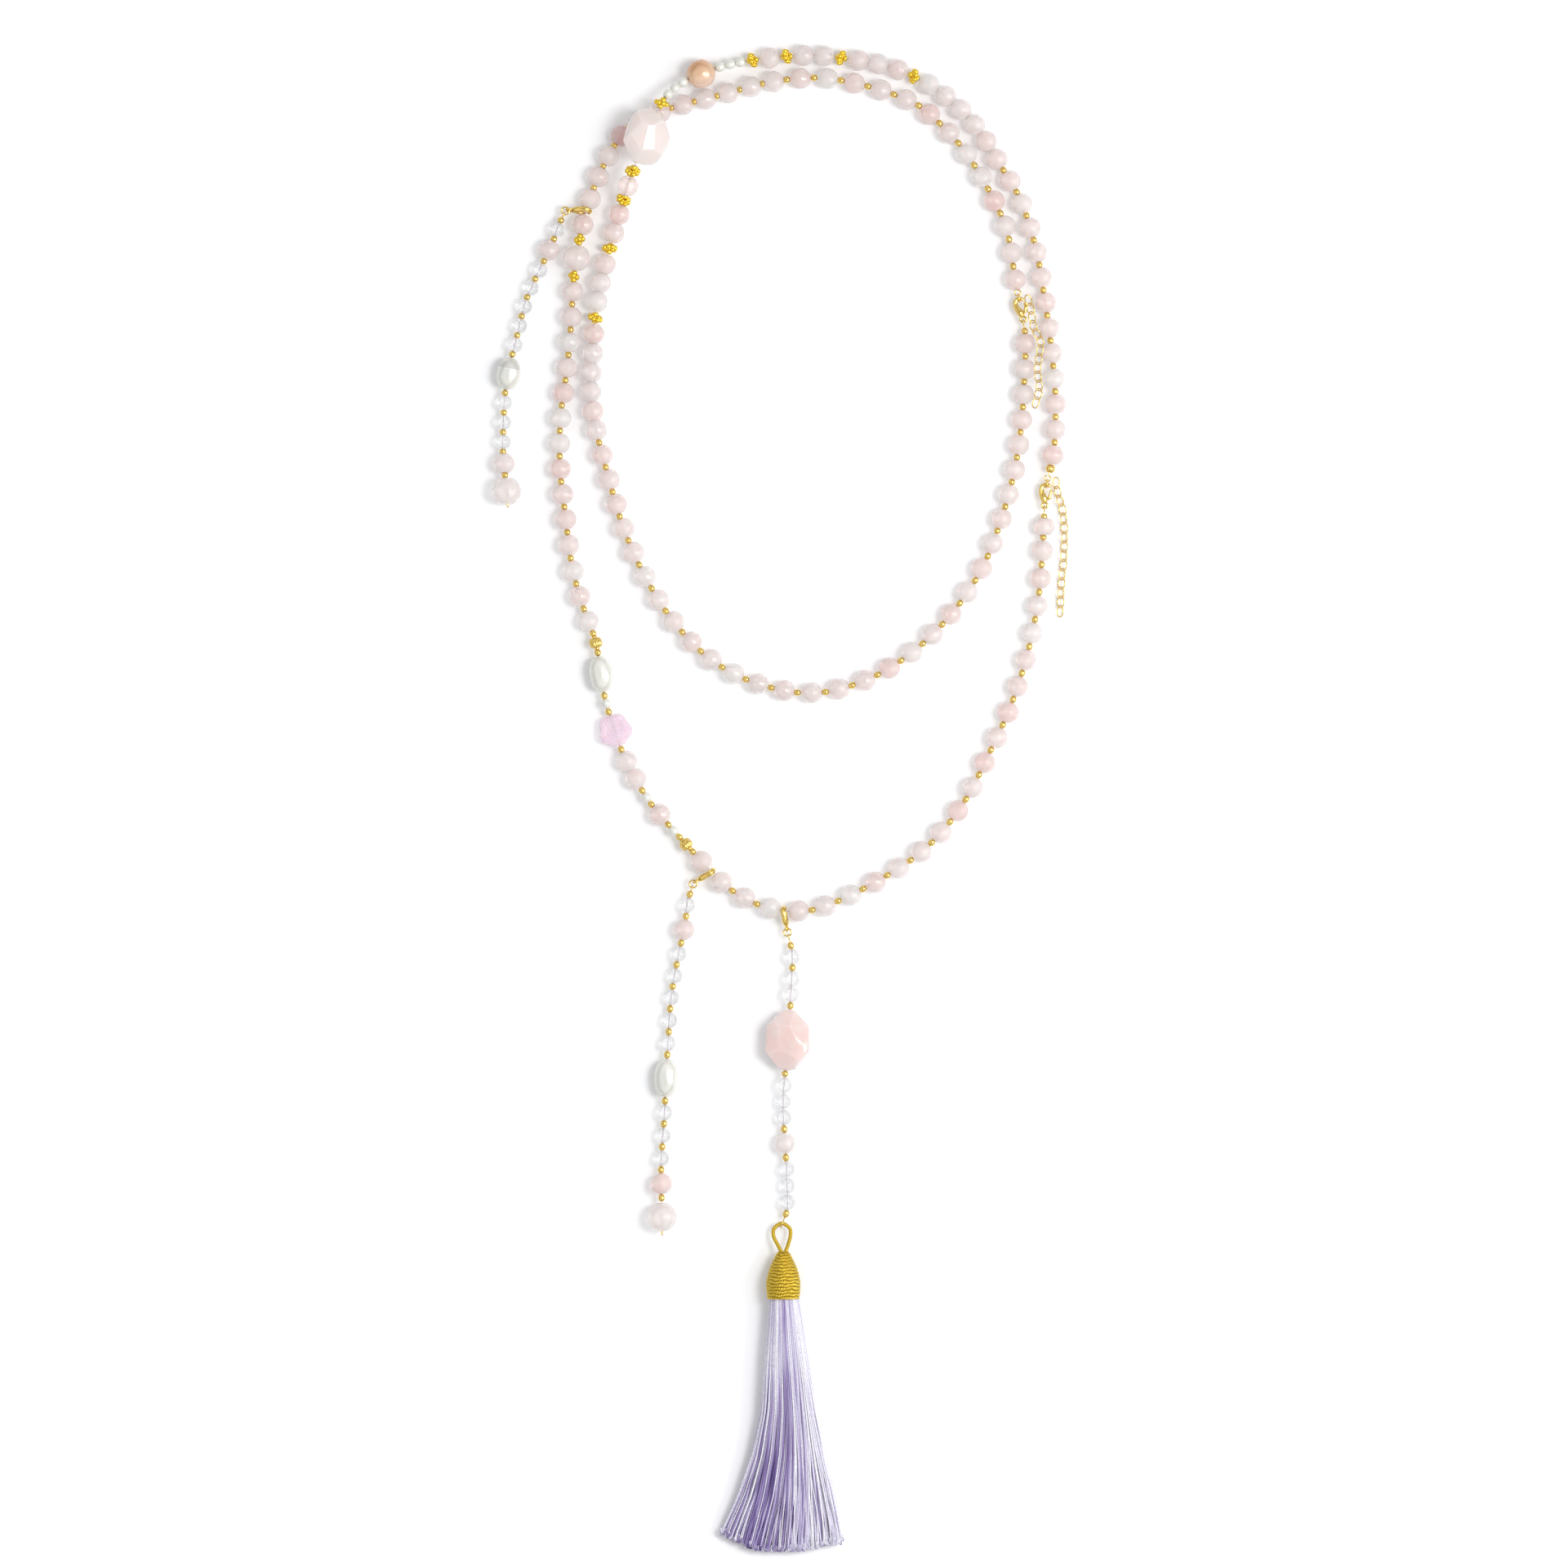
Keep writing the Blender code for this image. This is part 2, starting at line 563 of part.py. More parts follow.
def hook_outline():
    """Centres and radii of a lobster clasp's body, from its eye round to the hook's tip."""
    outline = [((1.25, 0.1), 0.85), ((2.6, 0.9), 1.02), ((4.1, 1.5), 0.92)]
    for degrees, radius in [(100, 0.85), (60, 0.78), (28, 0.75), (0, 0.75), (-28, 0.68),
                            (-50, 0.5)]:
        angle = math.radians(degrees)
        outline.append(((HOOK_CENTRE_MM + HOOK_RADIUS_MM * math.cos(angle),
                         HOOK_RADIUS_MM * math.sin(angle)), radius))
    return outline


LEVER_OUTLINE = [((2.35, -0.98), 0.4), ((3.4, -1.5), 0.55), ((4.6, -1.75), 0.5),
                 ((5.65, -1.75), 0.4)]


def clasp_frame(eye, bearing_degrees, upright):
    """Clasp axes: X from the eye to the hook; its flat side level, or upright."""
    bearing = math.radians(bearing_degrees)
    x_axis = Vector((math.cos(bearing), math.sin(bearing), 0))
    y_axis = Vector((0, 0, 1)) if upright else Vector((-x_axis.y, x_axis.x, 0))
    z_axis = x_axis.cross(y_axis)
    return Matrix.Translation(eye) @ Matrix((x_axis, y_axis, z_axis)).transposed().to_4x4()


def from_curve(piece):
    """Turn a curve object's shape into mesh data with welded caps, and remove the curve."""
    evaluated = piece.evaluated_get(bpy.context.evaluated_depsgraph_get())
    bm = bmesh.new()
    bm.from_mesh(evaluated.to_mesh())
    evaluated.to_mesh_clear()
    bmesh.ops.remove_doubles(bm, verts=bm.verts[:], dist=0.000001)
    bpy.data.objects.remove(piece, do_unlink=True)
    return bm


def clasp(name, frame):
    """A lobster clasp: the hooked body with its eye, and the lever that shuts it."""
    outline = hook_outline()
    hook = tube(f"{name}_hook", [Vector((*centre, 0)) * MM for centre, _ in outline],
                [radius for _, radius in outline], None)
    body = mesh_object(f"{name}_body", from_curve(hook), "gold")
    eye_bm = bmesh.new()
    torus_mesh(eye_bm, CLASP_EYE_RADIUS_MM, CLASP_EYE_WIRE_MM, Matrix.Identity(4))
    eye = mesh_object(f"{name}_eye", eye_bm, None, cutters)
    eye.hide_render = True
    eye.display_type = "WIRE"
    eye.parent = body
    join = body.modifiers.new("eye", "BOOLEAN")
    join.operation = "UNION"
    join.object = eye
    body.matrix_world = frame
    shade_round(body)

    lever = tube(f"{name}_lever", [Vector((centre[0] - LEVER_PIVOT_MM[0],
                                           centre[1] - LEVER_PIVOT_MM[1], 0)) * MM
                                   for centre, _ in LEVER_OUTLINE],
                 [radius for _, radius in LEVER_OUTLINE], "gold")
    lever.matrix_world = frame @ Matrix.Translation(Vector((*LEVER_PIVOT_MM, 0)) * MM)
    return body, lever


# ---------------------------------------------------------------- chains and tassel
def chain_links(name, route, links, first, last, start, end):
    """A stretch of extender chain as one solid with a waist between its links."""
    pitch = route.length / links
    centres, radii = [], []
    for link in range(first, last):
        for part, radius in LINK_OUTLINE:
            centres.append(route.point(min(max((link + part) * pitch, start), end)))
            radii.append(radius)
    return tube(name, centres, radii, "gold", sides_resolution=1)


def tassel_cap():
    """The bullet-shaped cap: a solid turned round its axis, with a round top."""
    outline = [(0, 0), (1.3, -0.5), (2.1, -1.7), (3.6, -3.6), (5.2, -5.8), (6.2, -8.6),
               (CAP_RADIUS_MM, -11.4), (6.2, -14.2), (5.7, -CAP_LENGTH_MM), (0, -CAP_LENGTH_MM)]
    bm = bmesh.new()
    corners = [bm.verts.new((radius * MM, 0, height * MM)) for radius, height in outline]
    for corner, following in zip(corners, corners[1:]):
        bm.edges.new((corner, following))
    bmesh.ops.spin(bm, geom=bm.verts[:] + bm.edges[:], cent=(0, 0, 0), axis=(0, 0, 1),
                   angle=2 * math.pi, steps=20)
    bmesh.ops.remove_doubles(bm, verts=bm.verts[:], dist=0.00001)
    piece = mesh_object("tassel_cap", bm, "gold_cord")
    shade_round(piece)
    piece.matrix_world = upright_frame(Vector(CAP_TOP) * MM, Vector((0, 1, 0)))
    return piece


def tassel_skirt():
    """The silk threads as one solid: round under the cap, wide and flat at the hem."""
    # part of the length, middle x, half width, half height, in mm
    sections = [(0.0, 1.9, 5.3, 5.4), (0.06, 2.0, 6.2, 6.0), (0.25, 2.5, 8.4, 6.4),
                (0.45, 3.4, 10.6, 6.0), (0.62, 3.2, 14.0, 5.4), (0.78, 2.2, 18.6, 4.6),
                (0.9, 0.7, 22.4, 3.9), (0.96, -0.2, 23.6, 3.3), (1.0, 0.6, 19.0, 2.4)]
    corners = 16
    bm = bmesh.new()
    rings = []
    for part, middle_x, half_width, half_height in sections:
        y = (SKIRT_TOP_Y_MM + (SKIRT_END_Y_MM - SKIRT_TOP_Y_MM) * part) * MM
        middle_z = (6.45 if part < 0.05 else half_height) * MM
        ring = []
        for corner in range(corners):
            angle = 2 * math.pi * corner / corners
            ring.append(bm.verts.new((middle_x * MM + half_width * MM * math.cos(angle), y,
                                      middle_z + half_height * MM * math.sin(angle))))
        rings.append(ring)
    for ring, following in zip(rings, rings[1:]):
        for corner in range(corners):
            after = (corner + 1) % corners
            bm.faces.new((ring[corner], ring[after], following[after], following[corner]))
    bm.faces.new(rings[0])
    bm.faces.new(rings[-1])
    piece = mesh_object("tassel_skirt", bm, "lilac_silk")
    shade_round(piece)
    return piece


# ---------------------------------------------------------------- the object
def add_run(name, route, start, end, kinds, empty=None, **eyes):
    """Build a run and the separate beads on it, and hang them all from the joint's empty."""
    run, separate = strung_run(name, route, start, end, kinds, **eyes)
    made = [run]
    for bead, bead_start, bead_end in separate:
        if bead in ("daisy", "rice_pearl", "end_bead"):
            bead_count[bead] = bead_count.get(bead, 0) + 1
            bead_name = f"{bead}_{bead_count[bead]}"
        else:
            bead_name = bead
        made.append(separate_bead(bead_name, bead, bead_start, bead_end))
    if empty:
        for piece in made:
            hang(piece, empty)


def add_clasp(name, eye, bearing, upright, empty=None):
    """Build a clasp's body and lever, and hang both from the joint's empty."""
    for piece in clasp(name, clasp_frame(eye, bearing, upright)):
        if empty:
            hang(piece, empty)


def bearing_vector(degrees):
    return Vector((math.cos(math.radians(degrees)), math.sin(math.radians(degrees)), 0))


def add_drop(number, route_mm, hold, upper, lower, empty=None, **eyes):
    """A clip-on drop: clasp round the strand, jump ring, and two strung runs with a bend."""
    clasp_bearing, ring_bearing, drop_bearing = DROP_BEARINGS[number - 1]
    eye = hold - bearing_vector(clasp_bearing) * THREAD_IN_HOOK_MM * MM
    add_clasp(f"drop_{number}_clasp", eye, clasp_bearing, True, empty)
    eye_wire = eye - bearing_vector(clasp_bearing) * CLASP_EYE_RADIUS_MM * MM
    ring_centre = eye_wire + bearing_vector(ring_bearing) * JUMP_RING_SET_MM * MM
    swing = axis_empty(f"drop_{number}_swing_axis", eye_wire)
    ring = ring_object(f"drop_{number}_ring", JUMP_RING_RADIUS_MM, JUMP_RING_WIRE_MM,
                       Matrix.Translation(ring_centre))
    hang(ring, swing)
    neck = ring_centre + bearing_vector(drop_bearing) * DROP_NECK_MM * MM
    lift = axis_empty(f"drop_{number}_lift_axis",
                      ring_centre + bearing_vector(drop_bearing) * JUMP_RING_RADIUS_MM * MM)
    route = Route([tuple(neck / MM)] + route_mm)
    bend_station = route.near(DROP_BENDS[number - 1])
    bend = axis_empty(f"drop_{number}_bend_axis", route.point(bend_station))
    gap = BEND_CLEAR_MM * MM
    add_run(f"drop_{number}_upper", route, 0.0, bend_station - gap, upper + ["bend_stub"],
            lift, start_eye=UP)
    add_run(f"drop_{number}_lower", route, bend_station + gap, route.length,
            ["bend_stub"] + lower, bend, **eyes)


clear_scene()
parts = new_collection(COLLECTION)
cutters = new_collection("cutters")
bead_count = {}
UP = Vector((0, 0, 1))

outer = Route(OUTER_ROUTE)
inner = Route(INNER_ROUTE)
half_gap = HALF_GAP_MM * MM
fold_clear = FOLD_CLEAR_MM * MM
slot = CLASP_SLOT_MM * MM / 2

# Outer strand, from the ring at clasp 1, over the top, down the left and round the bottom
split = outer.near(OUTER_SPLIT)
fold_left, fold_right = outer.near(OUTER_FOLD_LEFT), outer.near(OUTER_FOLD_RIGHT)
holds = [outer.near(hold) for hold in DROP_HOLDS]
outer_fold = axis_empty("outer_fold_axis", outer.point(fold_left))
add_run("outer_strand_1", outer, 0.0, split - half_gap, spaced("rose", 13),
        start_eye=outer.heading(0.0).cross(UP))
add_run("outer_strand_2", outer, split + half_gap, holds[0] + slot,
        spaced("rose", 10) + ["rose", "clasp_slot"])
add_run("outer_strand_3", outer, holds[0] + slot + half_gap * 2, fold_left - fold_clear,
        ["rose", "small_daisy", "rose_large", "small_daisy"] + spaced("rose", 9)
        + ["rose", "fold_stub"])
add_run("outer_strand_4", outer, fold_left + fold_clear, holds[1] + slot,
        ["fold_stub"] + spaced("rose", 4)
        + ["lantern", "spacer", "rice_pearl", "spacer", "seed", "spacer", "star", "spacer",
           "rose", "rose", "spacer", "seed", "spacer", "rose", "spacer", "seed", "spacer",
           "lantern", "spacer", "rose", "clasp_slot"],
        outer_fold)
add_run("outer_strand_5", outer, holds[1] + slot + half_gap * 2, fold_right - fold_clear,
        spaced("rose", 2) + ["rose", "clasp_slot"] + spaced("rose", 17)
        + ["rose", "fold_stub"],
        outer_fold)
add_run("outer_strand_6", outer, fold_right + fold_clear, outer.length,
        ["fold_stub", "rose", "spacer", "wire"], end_eye=UP)

# Inner strand, from the ring at clasp 2, up the right, over the top and down the inside
split_top, split_nugget = inner.near(INNER_SPLIT_TOP), inner.near(INNER_SPLIT_NUGGET)
split_low = inner.near(INNER_SPLIT_LOW)
fold_left, fold_right = inner.near(INNER_FOLD_LEFT), inner.near(INNER_FOLD_RIGHT)
inner_fold = axis_empty("inner_fold_axis", inner.point(fold_left))
add_run("inner_strand_1", inner, 0.0, split_top - half_gap,
        ["wire", "clamshell"] + spaced("rose", 12) + ["rose"],
        start_eye=inner.heading(0.0).cross(UP))
add_run("inner_strand_2", inner, split_top + half_gap, split_nugget - half_gap,
        ["rose"] * 5 + ["daisy"] + ["rose"] * 3
        + ["daisy", "rose", "rose", "daisy", "rose", "daisy"]
        + ["seed"] * 3 + ["peach_pearl"] + ["seed"] * 3 + ["daisy", "nugget_strand", "daisy"])
add_run("inner_strand_3", inner, split_nugget + half_gap, fold_left - fold_clear,
        ["rose", "daisy", "rose", "rose", "daisy", "rose", "rose", "rose", "daisy"]
        + ["rose"] * 6 + ["spacer"] + spaced("rose", 3) + ["rose", "fold_stub"])
add_run("inner_strand_4", inner, fold_left + fold_clear, split_low - half_gap,
        ["fold_stub"] + spaced("rose", 9), inner_fold)
add_run("inner_strand_5", inner, split_low + half_gap, fold_right - fold_clear,
        spaced("rose", 9) + ["rose", "fold_stub"], inner_fold)
add_run("inner_strand_6", inner, fold_right + fold_clear, inner.length,
        ["fold_stub"] + spaced("rose", 8) + ["wire"], end_eye=UP)

# The two lobster clasps that join the strands, each hooked into the other strand's ring
for number, strand in ((1, inner), (2, outer)):
    bearing = STRAND_CLASP_BEARINGS[number - 1]
    eye = strand.point(strand.length) + strand.heading(strand.length) * STRAND_EYE_SET_MM * MM
    add_clasp(f"strand_clasp_{number}", eye, bearing, False)
    ring_centre = eye + bearing_vector(bearing) * END_RING_SET_MM * MM
    ring_object(f"strand_ring_{number}", END_RING_RADIUS_MM, END_RING_WIRE_MM,
                clasp_frame(ring_centre, bearing, True))

# Extender chains
for number, route_mm, links in ((1, CHAIN_1_ROUTE, CHAIN_1_LINKS),
                                (2, CHAIN_2_ROUTE, CHAIN_2_LINKS)):
    route = Route(route_mm)
    bend_station = route.length / links * CHAIN_BEND_LINK
    upper_axis = axis_empty(f"chain_{number}_axis", route.point(0.0))
    lower_axis = axis_empty(f"chain_{number}_bend_axis", route.point(bend_station))
    hang(chain_links(f"chain_{number}_upper", route, links, 0, CHAIN_BEND_LINK, 0.0,
                     bend_station), upper_axis)
    hang(chain_links(f"chain_{number}_lower", route, links, CHAIN_BEND_LINK, links,
                     bend_station, route.length), lower_axis)

# Clip-on drops
hold_points = [outer.point(hold) for hold in holds]
add_drop(1, DROP_1_ROUTE, hold_points[0],
         ["spacer", "clear", "spacer", "rose"] + ["spacer", "clear"] * 3,
         ["clear", "spacer", "clear", "spacer", "rice_pearl"] + ["spacer", "clear"] * 3
         + ["spacer", "rose", "spacer", "end_bead", "tip"])
add_drop(2, DROP_2_ROUTE, hold_points[1],
         ["spacer", "clear", "spacer", "rose", "spacer", "clear", "spacer", "clear"],
         ["clear", "spacer"] * 3 + ["rice_pearl"] + ["spacer", "clear"] * 3
         + ["spacer", "rose", "spacer", "end_bead", "tip"],
         outer_fold)
add_drop(3, DROP_3_ROUTE, hold_points[2],
         ["wire", "spacer", "clear", "spacer", "clear", "clear", "spacer", "nugget_drop"],
         ["clear"] * 3 + ["spacer", "rose", "spacer"] + ["clear"] * 3 + ["spacer", "wire"],
         outer_fold, end_eye=UP, end_eye_mm=TASSEL_EYE_RADIUS_MM)

# Tassel
swing = axis_empty("tassel_swing_axis", Vector(LOOP_ROUTE[len(LOOP_ROUTE) // 2]) * MM)
lift = axis_empty("tassel_lift_axis", Vector(CAP_TOP) * MM)
loop_route = Route(LOOP_ROUTE, steps=3)
loop = tube("tassel_loop", [Vector(place) for place in loop_route.track],
            [CORD_RADIUS_MM] * len(loop_route.track), "gold_cord")
hang(loop, swing)
hang(tassel_cap(), lift)
hang(tassel_skirt(), lift)
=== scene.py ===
"""Looks for the rose quartz prayer beads: stone, pearl, gold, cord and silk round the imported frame.

Every strung run, bead, clasp, ring, chain and tassel piece of the frame is replaced by a finely
made one at the same place. Lengths named *_MM and the route points are in millimetres, as in the
part; everything that goes into the scene is in metres.
"""

import json
import math
import random

import bpy
import numpy as np
from mathutils import Matrix, Vector, noise

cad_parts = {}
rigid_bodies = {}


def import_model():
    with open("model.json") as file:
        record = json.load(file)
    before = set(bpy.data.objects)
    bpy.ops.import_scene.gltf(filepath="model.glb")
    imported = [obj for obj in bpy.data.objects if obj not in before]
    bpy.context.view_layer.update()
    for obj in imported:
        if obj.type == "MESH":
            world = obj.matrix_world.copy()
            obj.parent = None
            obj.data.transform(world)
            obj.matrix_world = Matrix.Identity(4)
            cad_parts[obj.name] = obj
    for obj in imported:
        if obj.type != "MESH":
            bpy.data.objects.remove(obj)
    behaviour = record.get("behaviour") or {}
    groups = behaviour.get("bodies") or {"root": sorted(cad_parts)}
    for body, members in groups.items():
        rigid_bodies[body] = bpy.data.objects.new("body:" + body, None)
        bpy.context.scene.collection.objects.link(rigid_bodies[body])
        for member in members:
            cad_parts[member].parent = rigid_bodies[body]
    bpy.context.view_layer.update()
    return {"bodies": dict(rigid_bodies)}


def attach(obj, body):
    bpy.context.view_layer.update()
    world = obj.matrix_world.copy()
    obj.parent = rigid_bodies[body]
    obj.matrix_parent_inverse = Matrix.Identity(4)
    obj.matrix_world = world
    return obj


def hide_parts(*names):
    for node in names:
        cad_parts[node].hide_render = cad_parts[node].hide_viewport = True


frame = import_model()

MM = 0.001
UP = np.array((0.0, 0.0, 1.0))

# ---------------- driving dimensions, mm
ROSE_RADIUS_MM = 4.0
ROSE_LENGTH_MM = 7.1
ROSE_SHOWN_LENGTH_MM = 7.5
ROSE_LEAST_LENGTH_MM = 7.0  # in a tight run a bead stays this long and nests on its spacers
ROSE_NEST_MM = 0.6
CLEAR_RADIUS_MM = 3.0
CLEAR_LENGTH_MM = 5.4
CLEAR_SHOWN_LENGTH_MM = 5.6
SEED_RADIUS_MM = 1.85
SEED_LENGTH_MM = 3.7
SPACER_RADIUS_MM = 1.24
SPACER_LENGTH_MM = 2.3
SPACER_NEST_MM = 0.3
SIDE_BEAD_MM = 1.15
HINGE_BALL_RADIUS_MM = 1.28
ROSE_LARGE_RADIUS_MM = 5.03
END_BEAD_RADIUS_MM = 5.45
PEACH_RADIUS_MM = 5.35
RICE_RADIUS_MM = 4.45
DAISY_RADIUS_MM = 2.95
SMALL_DAISY_RADIUS_MM = 2.3
DAISY_TURNS = (0.5, -0.6, 2.6, 3.5)  # radians round the thread, one of them for each daisy
LANTERN_RADIUS_MM = 2.35
LANTERN_HALF_MM = 1.75
CLAMSHELL_RADIUS_MM = 1.75
STAR_RADIUS_MM = 6.1
STAR_POINT_MM = 0.42
STAR_HALF_HEIGHT_MM = 2.45
STAR_RELIEF_MM = 0.12
THREAD_RADIUS_MM = 0.17
WIRE_RADIUS_MM = 0.24
EYE_TAIL_MM = (2.2, 0.9)
EYE_OPENING_DEGREES = 32
TIP_WIRE_RADIUS_MM = 0.3
TIP_BEND_MM = (0.2, 0.0, 0.2)
BORE_RADIUS_MM = 0.5
LIP_MM = 0.45
GAP_MM = 0.3
BEAD_GAP_MM = 0.4
FOLD_STUB_MM = 0.95
FOLD_CLEAR_MM = 0.2
BEND_STUB_MM = 0.95
BEND_CLEAR_MM = 0.15
CLASP_SLOT_MM = 2.9
EYE_RADIUS_MM = 1.1

CLASP_EYE_RADIUS_MM = 1.05
CLASP_EYE_WIRE_MM = 0.38
HOOK_CENTRE_MM = 5.9
HOOK_RADIUS_MM = 1.75
THREAD_IN_HOOK_MM = 6.45
STRAND_EYE_SET_MM = 2.2
JUMP_RING_RADIUS_MM = 1.4
JUMP_RING_WIRE_MM = 0.29
JUMP_RING_SET_MM = 0.45
DROP_NECK_MM = 2.8
END_RING_RADIUS_MM = 1.6
END_RING_WIRE_MM = 0.29
END_RING_SET_MM = 8.0
LINK_HALF_WIDTH_MM = 1.5
LINK_OVERLAP_MM = 0.45
LINK_WIRE_MM = 0.23
LINK_TURN_DEGREES = 38

TASSEL_EYE_RADIUS_MM = 1.6
CORD_RADIUS_MM = 0.75
CORD_WRAP_MM = 0.52
CORD_RIDGE = 0.17
CAP_TOP = (1.4, -166.6, 6.45)
SKIRT_TOP_Y_MM = -184.1
SKIRT_END_Y_MM = -276.6

# ---------------- routes of the threads, mm
OUTER_ROUTE = [
    (87.2, 186.6, 4), (86.4, 190.6, 4), (83.4, 208.4, 4), (76, 224.6, 4), (66.2, 239.8, 4),
    (52.6, 253.2, 4), (44, 257.4, 4), (35, 260.7, 4), (15.4, 264.4, 4), (-3.4, 262.8, 4),
    (-22.4, 257.9, 4), (-41, 253, 4), (-50, 249.2, 4), (-57.7, 244, 4), (-66.5, 228.3, 4),
    (-70.6, 216, 4), (-72.2, 211, 4.3), (-74.4, 199.4, 5.5), (-75.8, 188.5, 4.2),
    (-76.4, 176, 4), (-78, 158.2, 4), (-80.4, 140, 4), (-80.6, 121.4, 4), (-78.5, 102.8, 4),
    (-76.6, 87.5, 4), (-73.6, 74.8, 4), (-70.4, 65.5, 4), (-67.5, 57.6, 4), (-65.8, 47.2, 4.8),
    (-64, 36.2, 4), (-61, 26.6, 3.4), (-57.2, 15.8, 4), (-49.8, 1.8, 4), (-44.8, -5, 4),
    (-38.6, -12.2, 4), (-29, -22.7, 4), (-21.6, -30.6, 4), (-13, -36.6, 4), (-3, -40.6, 4),
    (8, -41.4, 4), (18, -39.2, 4), (36.8, -29.9, 4), (54, -18, 4), (67.2, -2.2, 4),
    (76.6, 15.8, 4), (84.8, 33.8, 4), (90.9, 52.7, 4), (94.8, 72, 4), (96.5, 91, 4),
    (97.2, 105.3, 4),
]
INNER_ROUTE = [
    (98.7, 118.5, 4), (99.6, 121.8, 4), (100.8, 127.4, 4), (101.3, 146.8, 4),
    (99.8, 165.2, 4), (97.3, 183.4, 4), (94.3, 201, 4), (89.2, 217.9, 4),
    (84.9, 226.2, 4), (80.1, 233.9, 4), (72.6, 246.5, 4),
    (67.4, 252, 4), (56.6, 261.3, 4), (50.6, 264.3, 4), (45, 267, 4), (38, 269.3, 4),
    (24, 271.6, 4), (10.3, 273, 4), (3.8, 272.3, 4), (-2.5, 272, 4), (-9.2, 271, 4),
    (-17.2, 269.6, 4.2), (-28.4, 266.4, 6), (-34.8, 263, 7.8), (-40.2, 258.8, 11),
    (-43.6, 254.2, 13.4), (-48.4, 242.2, 15.4), (-53.6, 230.4, 12.4), (-55.6, 224.8, 9.2),
    (-57.4, 218.9, 5.6), (-59.2, 213.2, 4), (-62.7, 200.5, 4), (-66.2, 187.8, 4),
    (-67.8, 175, 4), (-68.7, 163.3, 4), (-69.3, 149.2, 4), (-67.3, 135.2, 4),
    (-62.6, 117.1, 4), (-57.2, 99, 4), (-49.6, 81.8, 4), (-39.3, 65.4, 4), (-25.2, 50.9, 4),
    (-7.3, 41.8, 4), (13, 38.6, 4), (32.8, 43.8, 4), (49.6, 54.3, 4), (63.6, 68.3, 4),
    (74.4, 84.6, 4), (81.5, 102.8, 4), (86.4, 121.3, 4), (89, 139.8, 4), (90, 158.3, 4),
    (90.4, 167.5, 4), (89.7, 173.6, 4),
]
DROP_1_ROUTE = [
    (-81.4, 209.6, 3.7), (-83.9, 202.4, 4), (-88, 194.3, 3.5), (-91, 187.8, 3.1),
    (-93.7, 180.9, 3.1), (-97, 167, 3.5), (-99.8, 156.2, 5.2), (-101, 145.3, 3.7),
    (-101.6, 130.8, 3.5), (-101.1, 122.2, 4.3), (-100.1, 112.4, 6), (-99.7, 106.5, 6),
]
DROP_2_ROUTE = [
    (-33.9, -38.6, 3.8), (-34.8, -47.6, 4), (-37, -57, 3.4), (-39.8, -73.3, 3.1),
    (-40.9, -89.5, 3.5), (-41.8, -102.6, 5.4), (-42.2, -115.6, 3.6), (-43.4, -132.8, 3.5),
    (-43.4, -142.6, 4.5), (-43.1, -154.5, 6.1), (-43.1, -160.6, 6),
]
DROP_3_ROUTE = [
    (4.8, -58.6, 3.7), (4.2, -72, 4.87), (3.2, -89.2, 6.05), (1.7, -104.6, 4.83), (1.4, -116, 3.2),
    (2, -125.8, 4), (2.8, -141.2, 3.2), (2.9, -150.6, 3.8), (1.6, -154.6, 4),
]
CHAIN_1_ROUTE = [
    (90.9, 184.2, 7.6), (92.2, 178.6, 8.4), (93.4, 172, 8.8), (95.6, 168, 8.4),
    (95.2, 162, 7.9), (94.6, 156.4, 7.9), (95.3, 150.6, 7.9), (93.6, 143.6, 7.9),
]
CHAIN_2_ROUTE = [
    (101.3, 117.4, 3.6), (102.2, 112, 2.2), (103.8, 106.6, 1.8), (104.6, 99, 1.8),
    (104.4, 88, 1.8), (103.6, 80, 1.8), (103, 67, 1.8),
]
LOOP_ROUTE = [
    (0.4, -165.8, 6), (-0.8, -163.6, 5.4), (-2.2, -160.6, 4.6), (-1.9, -157.8, 4.1),
    (0.9, -156.05, 4), (3.7, -157.8, 4.1), (4, -160.6, 4.6), (3.2, -163.6, 5.4),
    (2.4, -165.8, 6),
]

# Places where the threads are crossed by a joint or pass through a clasp, mm
OUTER_SPLIT = (1.4, 264.3)
OUTER_FOLD_LEFT = (-78.0, 98.0)
OUTER_FOLD_RIGHT = (96.9, 95.8)
DROP_HOLDS = ((-70.6, 215.7), (-25.3, -26.8), (1.63, -41.32))
INNER_SPLIT_TOP = (78.0, 237.3)
INNER_SPLIT_NUGGET = (-54.8, 227.4)
INNER_FOLD_LEFT = (-55.8, 94.7)
INNER_FOLD_RIGHT = (79.9, 98.2)
INNER_SPLIT_LOW = (7.8, 38.7)
DROP_BENDS = ((-94.8, 177.3), (-39.2, -69.2), (1.7, -100.9))

# Bearings in degrees from +X: eye to hook of each clasp, eye to jump ring, ring to drop
DROP_BEARINGS = ((-3.0, 217.0, 245.0), (33.0, 245.0, 253.0), (98.0, 282.0, 284.0))
STRAND_CLASP_BEARINGS = (101.0, 84.0)
CLASP_ROLLS_DEGREES = (-24.0, 10.0, -14.0)
CHAIN_1_LINKS = 13
CHAIN_2_LINKS = 15
CHAIN_BEND_LINK = 6


# ---------------- routes
def smooth_path(points, steps=8):
    """Points along a Catmull-Rom curve through the given ones (any number of columns)."""
    points = np.asarray(points, float)
    knots = np.vstack([2 * points[0] - points[1], points, 2 * points[-1] - points[-2]])
    curve = []
    for before, start, end, after in zip(knots, knots[1:], knots[2:], knots[3:]):
        for t in np.arange(steps) / steps:
            curve.append(0.5 * (2 * start + (end - before) * t
                                + (2 * before - 5 * start + 4 * end - after) * t ** 2
                                + (3 * start - before - 3 * end + after) * t ** 3))
    return np.array(curve + [points[-1]])


